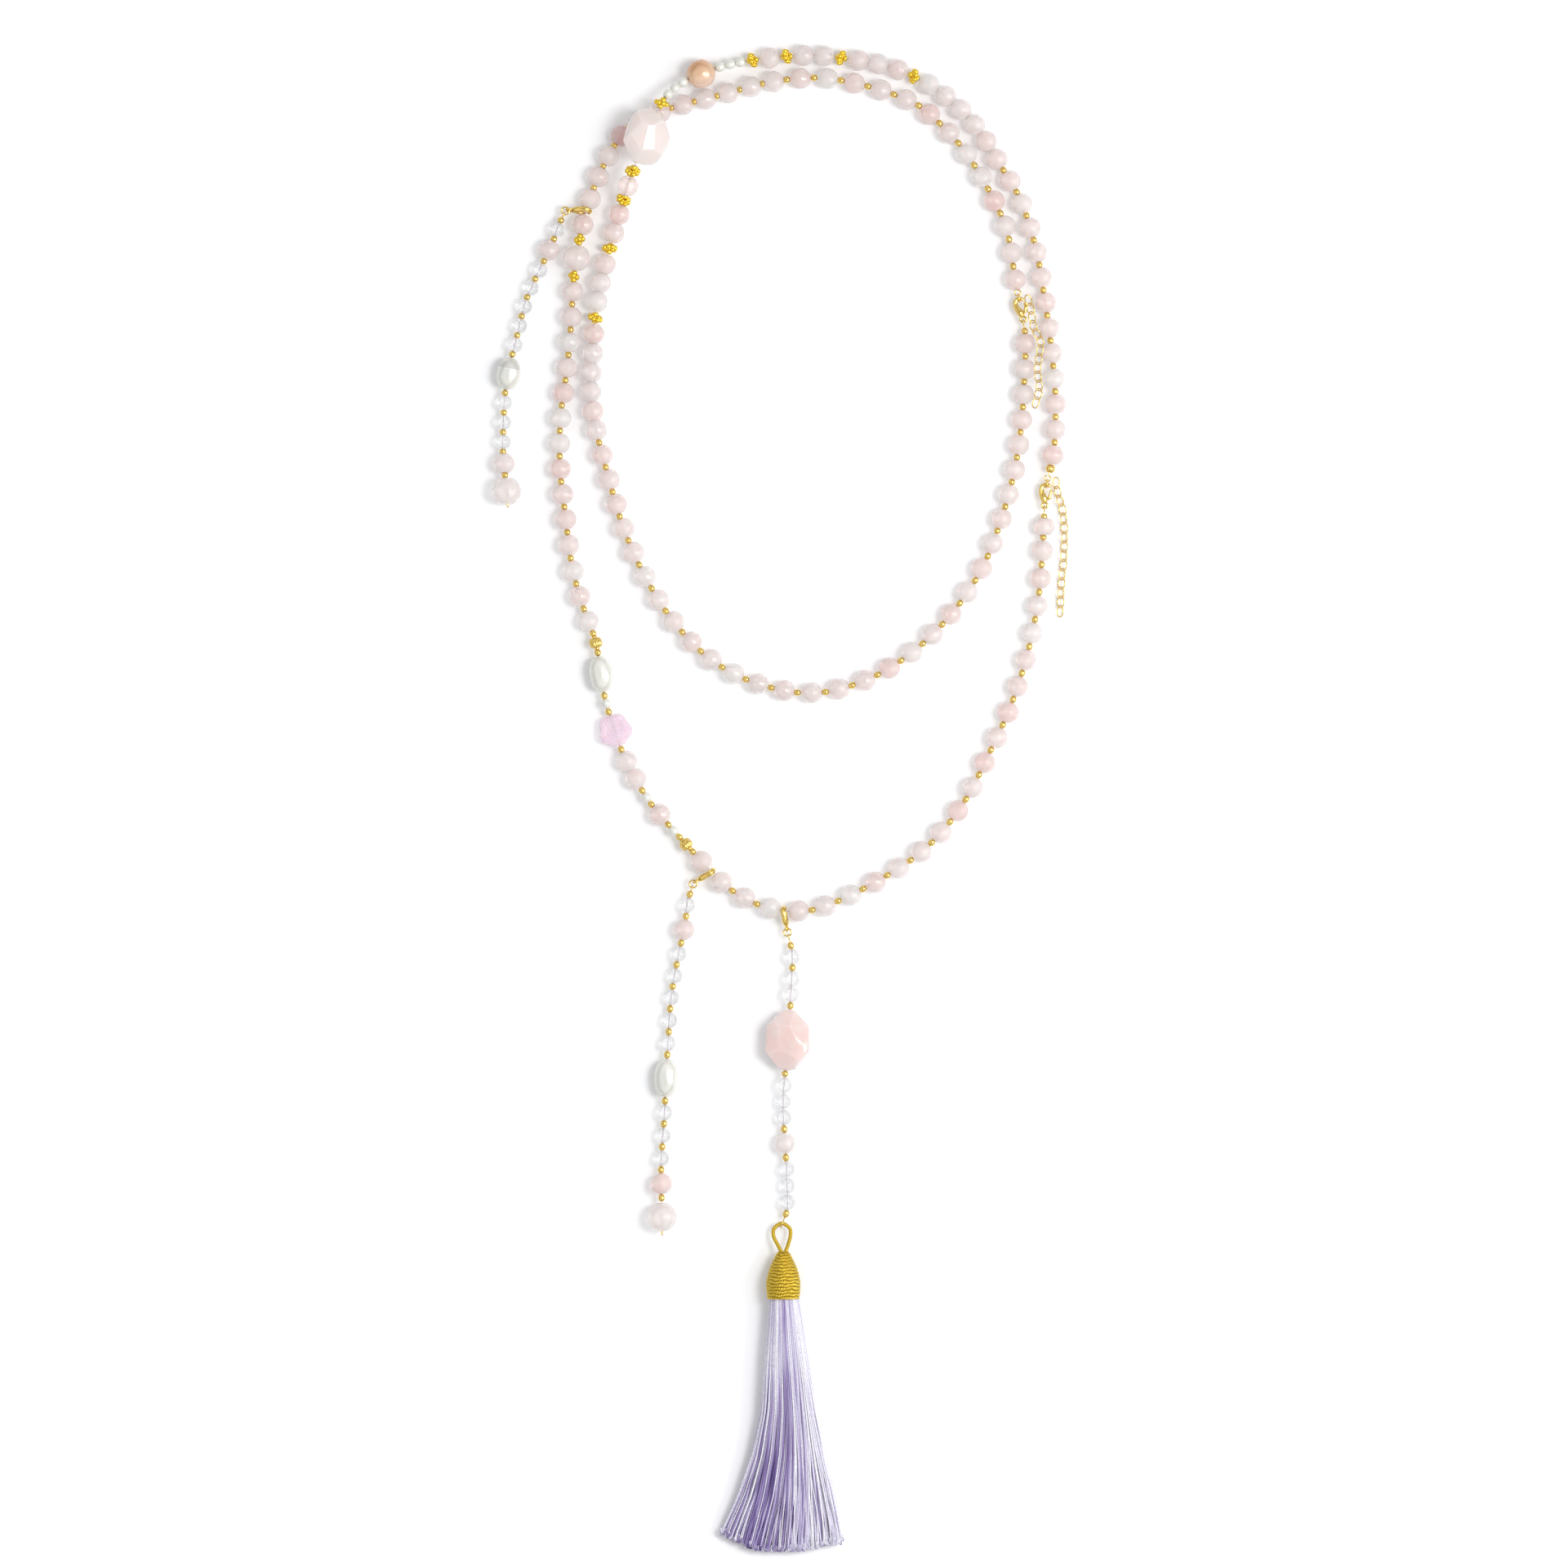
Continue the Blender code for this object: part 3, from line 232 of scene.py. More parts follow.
class Route:
    """A smooth curve through given points, walked by its length."""

    def __init__(self, points_mm, steps=16):
        self.track = smooth_path(np.array(points_mm, float) * MM, steps)
        strides = np.linalg.norm(np.diff(self.track, axis=0), axis=1)
        self.stations = np.concatenate([[0.0], np.cumsum(strides)])
        self.length = self.stations[-1]

    def point(self, station):
        return np.array([np.interp(station, self.stations, self.track[:, axis])
                         for axis in range(3)])

    def heading(self, station, reach=0.0008):
        return unit(self.point(min(station + reach, self.length))
                    - self.point(max(station - reach, 0.0)))

    def near(self, place_mm):
        away = np.linalg.norm(self.track[:, :2] - np.array(place_mm) * MM, axis=1)
        return float(self.stations[int(away.argmin())])


def unit(vector):
    return np.asarray(vector, float) / np.linalg.norm(vector)


def shifted(x_mm, y_mm, z_mm):
    """A 4 by 4 placement that only moves."""
    placed = np.eye(4)
    placed[:3, 3] = np.array((x_mm, y_mm, z_mm)) * MM
    return placed


def rotated(turn, axis="Z"):
    """A 4 by 4 placement that only turns."""
    return np.array(Matrix.Rotation(turn, 4, axis))


def axes_at(place, forward, turn=0.0):
    """A 4 by 4 placement: Z forward along the thread, Y as near to up as it can be."""
    z_axis = unit(forward)
    y_axis = unit(UP - z_axis * z_axis[2])
    x_axis = np.cross(y_axis, z_axis)
    placed = np.eye(4)
    placed[:3, 0] = x_axis * math.cos(turn) + y_axis * math.sin(turn)
    placed[:3, 1] = y_axis * math.cos(turn) - x_axis * math.sin(turn)
    placed[:3, 2] = z_axis
    placed[:3, 3] = place
    return placed


# ---------------- what is on the threads
LENGTHS_MM = {
    "rose": ROSE_LENGTH_MM, "clear": CLEAR_LENGTH_MM, "seed": SEED_LENGTH_MM, "lantern": 4.8,
    "small_daisy": 4.2, "clamshell": 3.2, "spacer": SPACER_LENGTH_MM, "tip": 1.2,
    "fold_stub": FOLD_STUB_MM, "bend_stub": BEND_STUB_MM, "clasp_slot": CLASP_SLOT_MM,
    "wire": 1.0, "daisy": 4.8, "peach_pearl": 10.6, "rose_large": 9.6, "rice_pearl": 13.4,
    "star": 11.9, "nugget_strand": 21.4, "nugget_drop": 21.4, "end_bead": 10.6,
}
SEPARATE = {"daisy", "peach_pearl", "rose_large", "rice_pearl", "star", "nugget_strand",
            "nugget_drop", "end_bead"}
UNSTRETCHED = {"fold_stub", "bend_stub", "clasp_slot", "wire", "tip"}


def spaced(bead, count):
    """Beads with a gold spacer after each one."""
    return [bead, "spacer"] * count


def lay_out(start, end, kinds):
    """Stations of each piece on a run: (kind, start, end), with the slack shared out."""
    fixed = sum(LENGTHS_MM[kind] for kind in kinds if kind in UNSTRETCHED) * MM
    loose = sum(LENGTHS_MM[kind] for kind in kinds if kind not in UNSTRETCHED) * MM
    stretch = (end - start - fixed) / loose
    placed = []
    station = start
    for kind in kinds:
        length = LENGTHS_MM[kind] * MM * (1.0 if kind in UNSTRETCHED else stretch)
        placed.append((kind, station, station + length))
        station += length
    return placed


# ---------------- mesh building
class Shape:
    """Vertices and faces gathered into one mesh, with a value or two for each vertex."""

    def __init__(self):
        self.places, self.faces, self.values, self.count = [], [], {}, 0

    def add(self, places, faces, placed=None, **values):
        places = np.asarray(places, float)
        if placed is not None:
            places = places @ placed[:3, :3].T + placed[:3, 3]
        self.faces.extend([tuple(corner + self.count for corner in face) for face in faces])
        self.places.append(places)
        for name, value in values.items():
            column = np.broadcast_to(np.asarray(value, float), (len(places),))
            self.values.setdefault(name, []).append((self.count, column))
        self.count += len(places)

    def make(self, name, material, body, nodes=(), slot=None, sharp=40.0):
        """One object of everything gathered, riding on a body and standing for CAD nodes."""
        mesh = bpy.data.meshes.new(name)
        mesh.from_pydata(np.vstack(self.places).tolist(), [], self.faces)
        for key, columns in self.values.items():
            filled = np.zeros(self.count, np.float32)
            for first, column in columns:
                filled[first:first + len(column)] = column
            mesh.attributes.new(key, "FLOAT", "POINT").data.foreach_set("value", filled)
        mesh.materials.append(material)
        piece = bpy.data.objects.new(name, mesh)
        bpy.context.scene.collection.objects.link(piece)
        mesh.shade_smooth()
        mesh.set_sharp_from_angle(angle=math.radians(sharp))
        if body:
            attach(piece, body)
        if nodes:
            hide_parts(*nodes)
        return piece


def ring_faces(rows, sides, first=0, closed=False, flipped=False):
    """Quads between rings of points that follow each other, from the point numbered first."""
    faces = []
    for row in range(rows if closed else rows - 1):
        near, far = first + row * sides, first + (row + 1) % rows * sides
        for side in range(sides):
            after = (side + 1) % sides
            face = (near + side, far + side, far + after, near + after)
            faces.append((face[0],) + face[:0:-1] if flipped else face)
    return faces


def fan_faces(tip, first, sides, flipped=False):
    """Triangles that close a ring of points on one tip."""
    fan = [(tip, first + side, first + (side + 1) % sides) for side in range(sides)]
    return [(tip, after, side) for _, side, after in fan] if flipped else fan


def closed_rings(rows, sides):
    """Rings of points closed on a first and a last tip, which come after them."""
    tip = rows * sides
    return (ring_faces(rows, sides) + fan_faces(tip, 0, sides)
            + fan_faces(tip + 1, tip - sides, sides, flipped=True))


def turned(outline, sides, wobble=None):
    """A closed solid turned round Z from a closed outline of (radius, height) in metres."""
    around = 2 * np.pi * np.arange(sides) / sides
    radius = np.array([corner[0] for corner in outline])[:, None]
    height = np.array([corner[1] for corner in outline])[:, None]
    swell = 1.0 if wobble is None else wobble(around[None, :], height, radius)
    places = np.stack([radius * swell * np.cos(around), radius * swell * np.sin(around),
                       height + 0 * around], axis=-1).reshape(-1, 3)
    faces = ring_faces(len(outline), sides, closed=True)
    return places, [face[1:] + face[:1] for face in faces]


def round_outline(radius, half, dimple=0.45, bore=BORE_RADIUS_MM * MM, rings=10, power=2.0):
    """A drilled round bead from its top end to its bottom end, then back along its bore."""
    end = min(half / radius, 0.97)
    end_radius = radius * (1 - end ** power) ** (1 / power)
    limit = math.asin(end)
    arc = []
    for ring in range(rings, -rings - 1, -1):
        rise = math.sin(limit * ring / rings)
        arc.append((radius * (1 - abs(rise) ** power) ** (1 / power), half * rise / end))
    inner = max(end_radius - LIP_MM * MM, bore * 1.3)
    depth = dimple * (inner - bore)
    lip = [(bore, half - depth), (inner, half - 0.00006), (end_radius * 0.94, half * 1.004)]
    return lip + arc + [(radius_, -height) for radius_, height in reversed(lip)]


def ball(radius, around=14, rings=8):
    """A small closed ball."""
    places = [(0.0, 0.0, radius)]
    for ring in range(1, rings):
        tilt = math.pi * ring / rings
        places += [(radius * math.sin(tilt) * math.cos(2 * math.pi * side / around),
                    radius * math.sin(tilt) * math.sin(2 * math.pi * side / around),
                    radius * math.cos(tilt)) for side in range(around)]
    places.append((0.0, 0.0, -radius))
    last = len(places) - 1
    return np.array(places), (fan_faces(0, 1, around) + ring_faces(rings - 1, around, first=1)
                              + fan_faces(last, last - around, around, flipped=True))


def swept(path, radii, sides=10, closed=False, flatten=None, ridge=None):
    """A tube along a path, with its own radius at each point.

    flatten is (unit vector, share): the section is squeezed to that share along the vector.
    ridge takes (angle, distance along) and gives the radius's factor there.
    """
    path = np.asarray(path, float)
    count = len(path)
    radii = np.broadcast_to(np.asarray(radii, float), (count,))
    if closed:
        ahead = np.roll(path, -1, axis=0) - np.roll(path, 1, axis=0)
    else:
        ahead = np.gradient(path, axis=0)
    ahead = ahead / np.linalg.norm(ahead, axis=1)[:, None]
    side = np.cross(ahead[0], UP)
    if np.linalg.norm(side) < 0.2:
        side = np.cross(ahead[0], (1.0, 0.0, 0.0))
    side = unit(side)
    around = 2 * np.pi * np.arange(sides) / sides
    along = np.concatenate([[0], np.cumsum(np.linalg.norm(np.diff(path, axis=0), axis=1))])
    places = []
    for step in range(count):
        side = unit(side - ahead[step] * side.dot(ahead[step]))
        other = np.cross(ahead[step], side)
        factor = ridge(around, along[step]) if ridge else np.ones(sides)
        offset = radii[step] * factor[:, None] * (np.cos(around)[:, None] * side
                                                  + np.sin(around)[:, None] * other)
        if flatten:
            normal = np.asarray(flatten[0], float)
            offset = offset - (offset @ normal)[:, None] * normal * (1 - flatten[1])
        places.append(path[step] + offset)
    faces = ring_faces(count, sides, closed=closed, flipped=True)
    if not closed:
        tip = count * sides
        places += [path[0], path[-1]]
        faces += fan_faces(tip, 0, sides, flipped=True) + fan_faces(tip + 1, tip - sides, sides)
    return np.vstack(places), faces


# ---------------- materials
def new_material(name, colour, roughness, metallic=0.0, **inputs):
    """A Principled material with its even values set on the shader's own sockets."""
    material = bpy.data.materials.new(name)
    material.use_nodes = True
    shader = material.node_tree.nodes["Principled BSDF"]
    shader.inputs["Base Color"].default_value = (*colour, 1.0)
    shader.inputs["Roughness"].default_value = roughness
    shader.inputs["Metallic"].default_value = metallic
    for key, value in inputs.items():
        shader.inputs[key.replace("_", " ")].default_value = value
    material.diffuse_color = (*colour, 1.0)
    return material, material.node_tree, shader


def add(tree, kind, **settings):
    node = tree.nodes.new(kind)
    for key, value in settings.items():
        setattr(node, key, value)
    return node


def noise_at(tree, scale, detail=3.0, distortion=0.0, coordinates=None, roughness=0.55):
    """A noise texture in object space; scale is in cells per metre."""
    if coordinates is None:
        coordinates = add(tree, "ShaderNodeTexCoord").outputs["Object"]
    texture = add(tree, "ShaderNodeTexNoise")
    texture.inputs["Scale"].default_value = scale
    texture.inputs["Detail"].default_value = detail
    texture.inputs["Roughness"].default_value = roughness
    texture.inputs["Distortion"].default_value = distortion
    tree.links.new(coordinates, texture.inputs["Vector"])
    return texture.outputs["Fac"]


def ramp(tree, value, stops):
    """Colours along a value: stops are (place, colour)."""
    node = add(tree, "ShaderNodeValToRGB")
    elements = node.color_ramp.elements
    while len(elements) < len(stops):
        elements.new(0.5)
    for element, (place, colour) in zip(elements, stops):
        element.position = place
        element.color = (*colour, 1.0) if len(colour) == 3 else colour
    tree.links.new(value, node.inputs["Fac"])
    return node.outputs["Color"]


def mixed(tree, factor, first, second, mode="MIX"):
    node = add(tree, "ShaderNodeMix", data_type="RGBA", blend_type=mode)
    for socket, value in ((node.inputs["Factor"], factor), (node.inputs[6], first),
                          (node.inputs[7], second)):
        if isinstance(value, bpy.types.NodeSocket):
            tree.links.new(value, socket)
        else:
            socket.default_value = value if isinstance(value, float) else (*value, 1.0)
    return node.outputs[2]


def spread(tree, value, low, high, from_low=0.0, from_high=1.0):
    """Map a value's range onto another."""
    node = add(tree, "ShaderNodeMapRange")
    tree.links.new(value, node.inputs["Value"])
    for key, number in (("From Min", from_low), ("From Max", from_high),
                        ("To Min", low), ("To Max", high)):
        node.inputs[key].default_value = number
    return node.outputs["Result"]


def bumped(tree, shader, value, strength, distance):
    node = add(tree, "ShaderNodeBump")
    node.inputs["Strength"].default_value = strength
    node.inputs["Distance"].default_value = distance
    tree.links.new(value, node.inputs["Height"])
    tree.links.new(node.outputs["Normal"], shader.inputs["Normal"])


def vertex_value(tree, name):
    return add(tree, "ShaderNodeAttribute", attribute_name=name).outputs["Fac"]


def rose_quartz(name, clearness, alpha):
    """Milky pink stone: each bead has its own depth of pink, with clouds and fine veils."""
    material, tree, shader = new_material(
        name, (0.97, 0.8, 0.8), 0.1, IOR=1.5, Transmission_Weight=clearness,
        Subsurface_Weight=1.0, Subsurface_Scale=0.004, Alpha=alpha, Coat_Weight=0.85,
        Coat_Roughness=0.05)
    shader.inputs["Subsurface Radius"].default_value = (1.0, 0.8, 0.78)
    tint = vertex_value(tree, "tint")
    stone = ramp(tree, tint, [(0.0, (0.95, 0.885, 0.86)), (0.35, (0.95, 0.8, 0.77)),
                              (0.7, (0.92, 0.68, 0.64)), (1.0, (0.76, 0.42, 0.41))])
    cloud = noise_at(tree, 170.0, detail=4.0, distortion=0.6)
    cloudy = mixed(tree, spread(tree, cloud, 0.0, 0.6, 0.42, 0.72), stone,
                   (0.95, 0.87, 0.845))
    veil = noise_at(tree, 520.0, detail=6.0, distortion=2.2, roughness=0.7)
    veil_line = ramp(tree, veil, [(0.0, (0, 0, 0)), (0.475, (0, 0, 0)), (0.5, (1, 1, 1)),
                                  (0.525, (0, 0, 0)), (1.0, (0, 0, 0))])
    faint = mixed(tree, 0.16, (0.0, 0.0, 0.0), veil_line, "MULTIPLY")
    veined = mixed(tree, faint, cloudy, (0.92, 0.86, 0.86))
    tree.links.new(veined, shader.inputs["Base Color"])
    tree.links.new(spread(tree, cloud, 0.06, 0.14), shader.inputs["Roughness"])
    bumped(tree, shader, noise_at(tree, 900.0, detail=2.0), 0.05, 0.0001)
    return material


def clear_quartz():
    """Clear rock crystal with a few pale veils."""
    material, tree, shader = new_material(
        "clear_quartz", (0.96, 0.97, 0.975), 0.03, IOR=1.5, Transmission_Weight=0.93,
        Alpha=0.62)
    veil = noise_at(tree, 420.0, detail=5.0, distortion=1.6, roughness=0.65)
    tree.links.new(ramp(tree, veil, [(0.0, (0.975, 0.98, 0.985)), (0.62, (0.97, 0.975, 0.98)),
                                     (0.8, (0.88, 0.89, 0.9))]), shader.inputs["Base Color"])
    tree.links.new(spread(tree, veil, 0.015, 0.16, 0.45, 0.9), shader.inputs["Roughness"])
    return material


def gold(name="gold", colour=(0.82, 0.6, 0.18), roughness=0.09):
    """Polished gold plate with fine wear and a little unevenness."""
    material, tree, shader = new_material(name, colour, roughness, metallic=1.0)
    wear = noise_at(tree, 900.0, detail=5.0)
    deep = tuple(channel * share for channel, share in zip(colour, (0.86, 0.74, 0.55)))
    tree.links.new(mixed(tree, spread(tree, wear, 0.0, 0.65, 0.4, 0.75), colour, deep),
                   shader.inputs["Base Color"])
    tree.links.new(spread(tree, wear, roughness * 0.75, roughness * 1.9, 0.3, 0.8),
                   shader.inputs["Roughness"])
    bumped(tree, shader, noise_at(tree, 1600.0, detail=3.0), 0.12, 0.00005)
    return material


def thread_material():
    """The pale mauve beading thread, two plies."""
    material, tree, shader = new_material("beading_thread", (0.5, 0.42, 0.5), 0.55,
                                          Sheen_Weight=0.3)
    ply = noise_at(tree, 3200.0, detail=2.0)
    tree.links.new(mixed(tree, ply, (0.34, 0.27, 0.36), (0.66, 0.58, 0.66)),
                   shader.inputs["Base Color"])
    bumped(tree, shader, ply, 0.4, 0.0001)
    return material


def ivory_pearl():
    """Freshwater pearl: ivory nacre with grown bands round it and a soft rosy overtone."""
    material, tree, shader = new_material(
        "ivory_pearl", (0.8, 0.78, 0.7), 0.26, metallic=0.24, Coat_Weight=0.3,
        Coat_Roughness=0.12)
    along = vertex_value(tree, "along")
    band = ramp(tree, along, [(0.0, (0.66, 0.66, 0.6)), (0.2, (0.56, 0.58, 0.55)),
                              (0.33, (0.54, 0.56, 0.53)), (0.37, (0.84, 0.84, 0.8)),
                              (0.41, (0.63, 0.65, 0.61)), (0.45, (0.73, 0.74, 0.69)),
                              (1.0, (0.69, 0.7, 0.64))])
    cloud = noise_at(tree, 260.0, detail=4.0, distortion=0.8)
    tinted = mixed(tree, spread(tree, cloud, 0.0, 0.5, 0.4, 0.75), band, (0.8, 0.74, 0.66))
    tree.links.new(tinted, shader.inputs["Base Color"])
    bumped(tree, shader, noise_at(tree, 900.0, detail=3.0), 0.2, 0.0002)
    return material


def peach_pearl():
    """Baroque peach pearl, darker deep orange towards its upper left side and paler pink towards its
    lower right.
    """
    material, tree, shader = new_material(
        "peach_pearl", (0.88, 0.62, 0.45), 0.34, metallic=0.35, Coat_Weight=0.5,
        Coat_Roughness=0.12)
    cloud = noise_at(tree, 150.0, detail=3.0, distortion=0.7)
    clouded = ramp(tree, cloud, [(0.3, (0.58, 0.31, 0.14)), (0.5, (0.71, 0.47, 0.29)),
                                 (0.7, (0.76, 0.52, 0.42))])
    # across runs from one side of the pearl to the other: darker deep orange on one side, paler pink
    # on the other
    sides = ramp(tree, vertex_value(tree, "across"), [(0.1, (0.52, 0.2, 0.05)),
                                                      (0.45, (0.71, 0.46, 0.28)),
                                                      (0.9, (0.86, 0.66, 0.58))])
    tree.links.new(mixed(tree, 0.6, clouded, sides), shader.inputs["Base Color"])
    bumped(tree, shader, noise_at(tree, 420.0, detail=3.0), 0.2, 0.0003)
    return material


def star_glass():
    """Pressed lavender-pink glass with an iridescent bloom."""
    material, tree, shader = new_material(
        "star_glass", (0.8, 0.52, 0.68), 0.14, IOR=1.5, Transmission_Weight=0.35,
        Subsurface_Weight=0.4, Subsurface_Scale=0.002, Alpha=0.5)
    cloud = noise_at(tree, 210.0, detail=3.0, distortion=1.0)
    tree.links.new(ramp(tree, cloud, [(0.3, (0.8, 0.58, 0.72)), (0.5, (0.88, 0.67, 0.79)),
                                      (0.72, (0.93, 0.79, 0.86))]), shader.inputs["Base Color"])
    bumped(tree, shader, noise_at(tree, 1200.0, detail=2.0), 0.1, 0.0001)
    return material


def gold_cord():
    """Metallic gold thread wound over a core: bright crests, and painted shade in dark brown between
    the turns.
    """
    material, tree, shader = new_material("gold_cord", (0.7, 0.42, 0.05), 0.34, metallic=0.85)
    depth = vertex_value(tree, "depth")
    wear = noise_at(tree, 2600.0, detail=4.0)
    crest = mixed(tree, wear, (0.47, 0.25, 0.002), (0.88, 0.72, 0.1))
    # painted shade: dark brown mixed in where depth is low, in the grooves between the turns
    tree.links.new(mixed(tree, spread(tree, depth, 0.0, 1.0, 0.15, 0.65), (0.18, 0.075, 0.002),
                         crest), shader.inputs["Base Color"])
    tree.links.new(spread(tree, wear, 0.22, 0.5), shader.inputs["Roughness"])
    bumped(tree, shader, wear, 0.5, 0.0002)
    return material


def lilac_silk():
    """Glossy rayon threads, each its own tone from near white lilac to purple, with painted
    highlights and painted shade.
    """
    material, tree, shader = new_material("lilac_silk", (0.6, 0.5, 0.78), 0.34,
                                          Specular_IOR_Level=0.6)
    # tint holds each thread's own tone together with the painted highlight and painted shade of
    # silk_tone
    shade = vertex_value(tree, "tint")
    silk = ramp(tree, shade, [(0.0, (0.08, 0.04, 0.2)), (0.3, (0.27, 0.2, 0.44)),
                              (0.6, (0.66, 0.63, 0.76)), (1.0, (0.95, 0.95, 0.97))])
    twist = noise_at(tree, 2400.0, detail=2.0)
    tree.links.new(mixed(tree, spread(tree, twist, 0.0, 0.5, 0.35, 0.75), silk,
                         (0.2, 0.14, 0.34)), shader.inputs["Base Color"])
    bumped(tree, shader, twist, 0.5, 0.0003)
    return material


ROSE, MILKY_ROSE = rose_quartz("rose_quartz", 0.45, 0.62), rose_quartz("milky_rose", 0.25, 0.9)
CLEAR, GOLD, THREAD = clear_quartz(), gold(), thread_material()
DAISY_GOLD = gold("granulated_gold", (0.88, 0.63, 0.07), 0.18)
IVORY, PEACH, STAR = ivory_pearl(), peach_pearl(), star_glass()
CORD, SILK = gold_cord(), lilac_silk()
chance = random.Random(11)


# ---------------- beads
def rose_tint():
    """Depth of pink of the next bead: mostly pale, a few nearly clear and a few deep."""
    draw = chance.random()
    if draw < 0.1:
        return chance.uniform(0.0, 0.12)
    if draw > 0.92:
        return chance.uniform(0.52, 0.66)
    return chance.uniform(0.18, 0.48)


def add_round(shape, placed, radius_mm, half_mm, sides=32, rings=11, **values):
    outline = round_outline(radius_mm * MM, half_mm * MM, rings=rings)
    places, faces = turned(outline, sides)
    shape.add(places, faces, placed, **values)


def add_spacer(shape, placed, half_mm, radius_mm=SPACER_RADIUS_MM):
    """A gold spacer: a short barrel with soft shoulders, drilled through."""
    outline = round_outline(radius_mm * MM, half_mm * MM, dimple=0.3, bore=0.4 * MM, rings=8,
                            power=2.15)
    shape.add(*turned(outline, 20), placed)


def add_side_beads(shape, placed, half_mm, middle_half_mm, radius_mm):
    """A small gold bead on the thread at each side of a middle piece."""
    side_half = (half_mm - middle_half_mm) / 2
    for way in (1, -1):
        place = shifted(0.0, 0.0, way * (half_mm - side_half))
        add_spacer(shape, placed @ place, side_half, radius_mm)


def add_flower(shape, placed, radius_mm, half_mm, petals, tilt):
    """A granulated gold flower on the thread, with a small gold bead at each side."""
    tilted = placed @ rotated(tilt, "X")
    petal_radius = radius_mm * math.pi / petals * 0.78
    rim = radius_mm - petal_radius
    for petal in range(petals):
        turn = 2 * math.pi * petal / petals
        grains = [(rim, petal_radius, 0.0)]
        grains += [(rim * 0.62, petal_radius * 0.7, rise) for rise in (0.5, -0.5)]
        for distance, size, rise in grains:
            place = shifted(distance * math.cos(turn), distance * math.sin(turn), rise)
            places, faces = ball(size * MM, 12, 8)
            shape.add(places * (1.0, 1.0, 1.08), faces, tilted @ place)
    hub = round_outline(rim * 0.62 * MM, 0.7 * MM, bore=0.42 * MM, rings=4, power=3.0)
    shape.add(*turned(hub, 18), tilted)
    add_side_beads(shape, placed, half_mm, 0.55, SIDE_BEAD_MM)


def add_lantern(shape, placed, half_mm):
    """A fluted melon-shaped gold bead between two small ones."""
    outline = round_outline(LANTERN_RADIUS_MM * MM, LANTERN_HALF_MM * MM, bore=0.42 * MM,
                            power=2.3)

    def flutes(around, height, radius):
        depth = 0.1 * np.clip((radius - 0.0008) / 0.001, 0, 1)
        return 1 - depth * (1 - np.abs(np.cos(6 * around)) ** 0.7)

    shape.add(*turned(outline, 120, flutes), placed)
    add_side_beads(shape, placed, half_mm, 1.5, 0.95)


def add_clamshell(shape, placed, half_mm):
    """A gold knot cover: two cups shut on the knot, with a seam and a small lip."""
    outline = round_outline(CLAMSHELL_RADIUS_MM * MM, half_mm * 0.92 * MM, bore=0.4 * MM,
                            rings=8)

    def seam(around, height, radius):
        return 1 - 0.07 * np.exp(-(np.sin(around) / 0.09) ** 2) * (radius > 0.0008)

    shape.add(*turned(outline, 72, seam), placed)


def add_pearl(shape, placed, radius_mm, half_mm, seed, bumps, power=2.0, sides=40,
              banded=False):
    """A drilled pearl with grown unevenness; `along` takes it over the grey band or past it."""
    outline = round_outline(radius_mm * MM, half_mm * MM, rings=16, power=power)

    def grown(around, height, radius):
        lift = np.array([[noise.noise(Vector((math.cos(a) * 1.1 + seed,
                                              math.sin(a) * 1.1, h / MM * 0.3)))
                          for a in around.ravel()] for h in height.ravel()])
        return 1 + bumps * (lift - 0.35)

    places, faces = turned(outline, sides, grown)
    along = places[:, 2] / (2 * half_mm * MM) + 0.5
    shape.add(places, faces, placed, along=along if banded else 0.55 + 0.4 * along,
              across=0.5 + places[:, 0] / (2 * radius_mm * MM))


def hold_at(route, start, end):
    """Placement of a bead between two stations of its thread."""
    first, last = route.point(start), route.point(end)
    return axes_at((first + last) / 2, last - first)


def eye_wire(neck, outward, side, radius_mm):
    """A wire eye and its tail, which runs back into the first bead."""
    radius = radius_mm * MM
    centre = neck + outward * radius
    turns = math.radians(360 - EYE_OPENING_DEGREES) * np.arange(27) / 26
    ring = [centre - outward * radius * math.cos(turn) + side * radius * math.sin(turn)
            for turn in turns]
    tail = [neck - outward * back * MM for back in EYE_TAIL_MM]
    return swept(np.array(tail + ring), WIRE_RADIUS_MM * MM, 10)


def add_tip(shape, route, start, end):
    """The end of a drop's wire, from inside its last bead to a slight bend outside it."""
    path = [route.point(start - 1.5 * MM), route.point(start + 0.4 * MM),
            route.point(end - 0.3 * MM) + np.array(TIP_BEND_MM) * MM]
    shape.add(*swept(smooth_path(path), TIP_WIRE_RADIUS_MM * MM, 10))


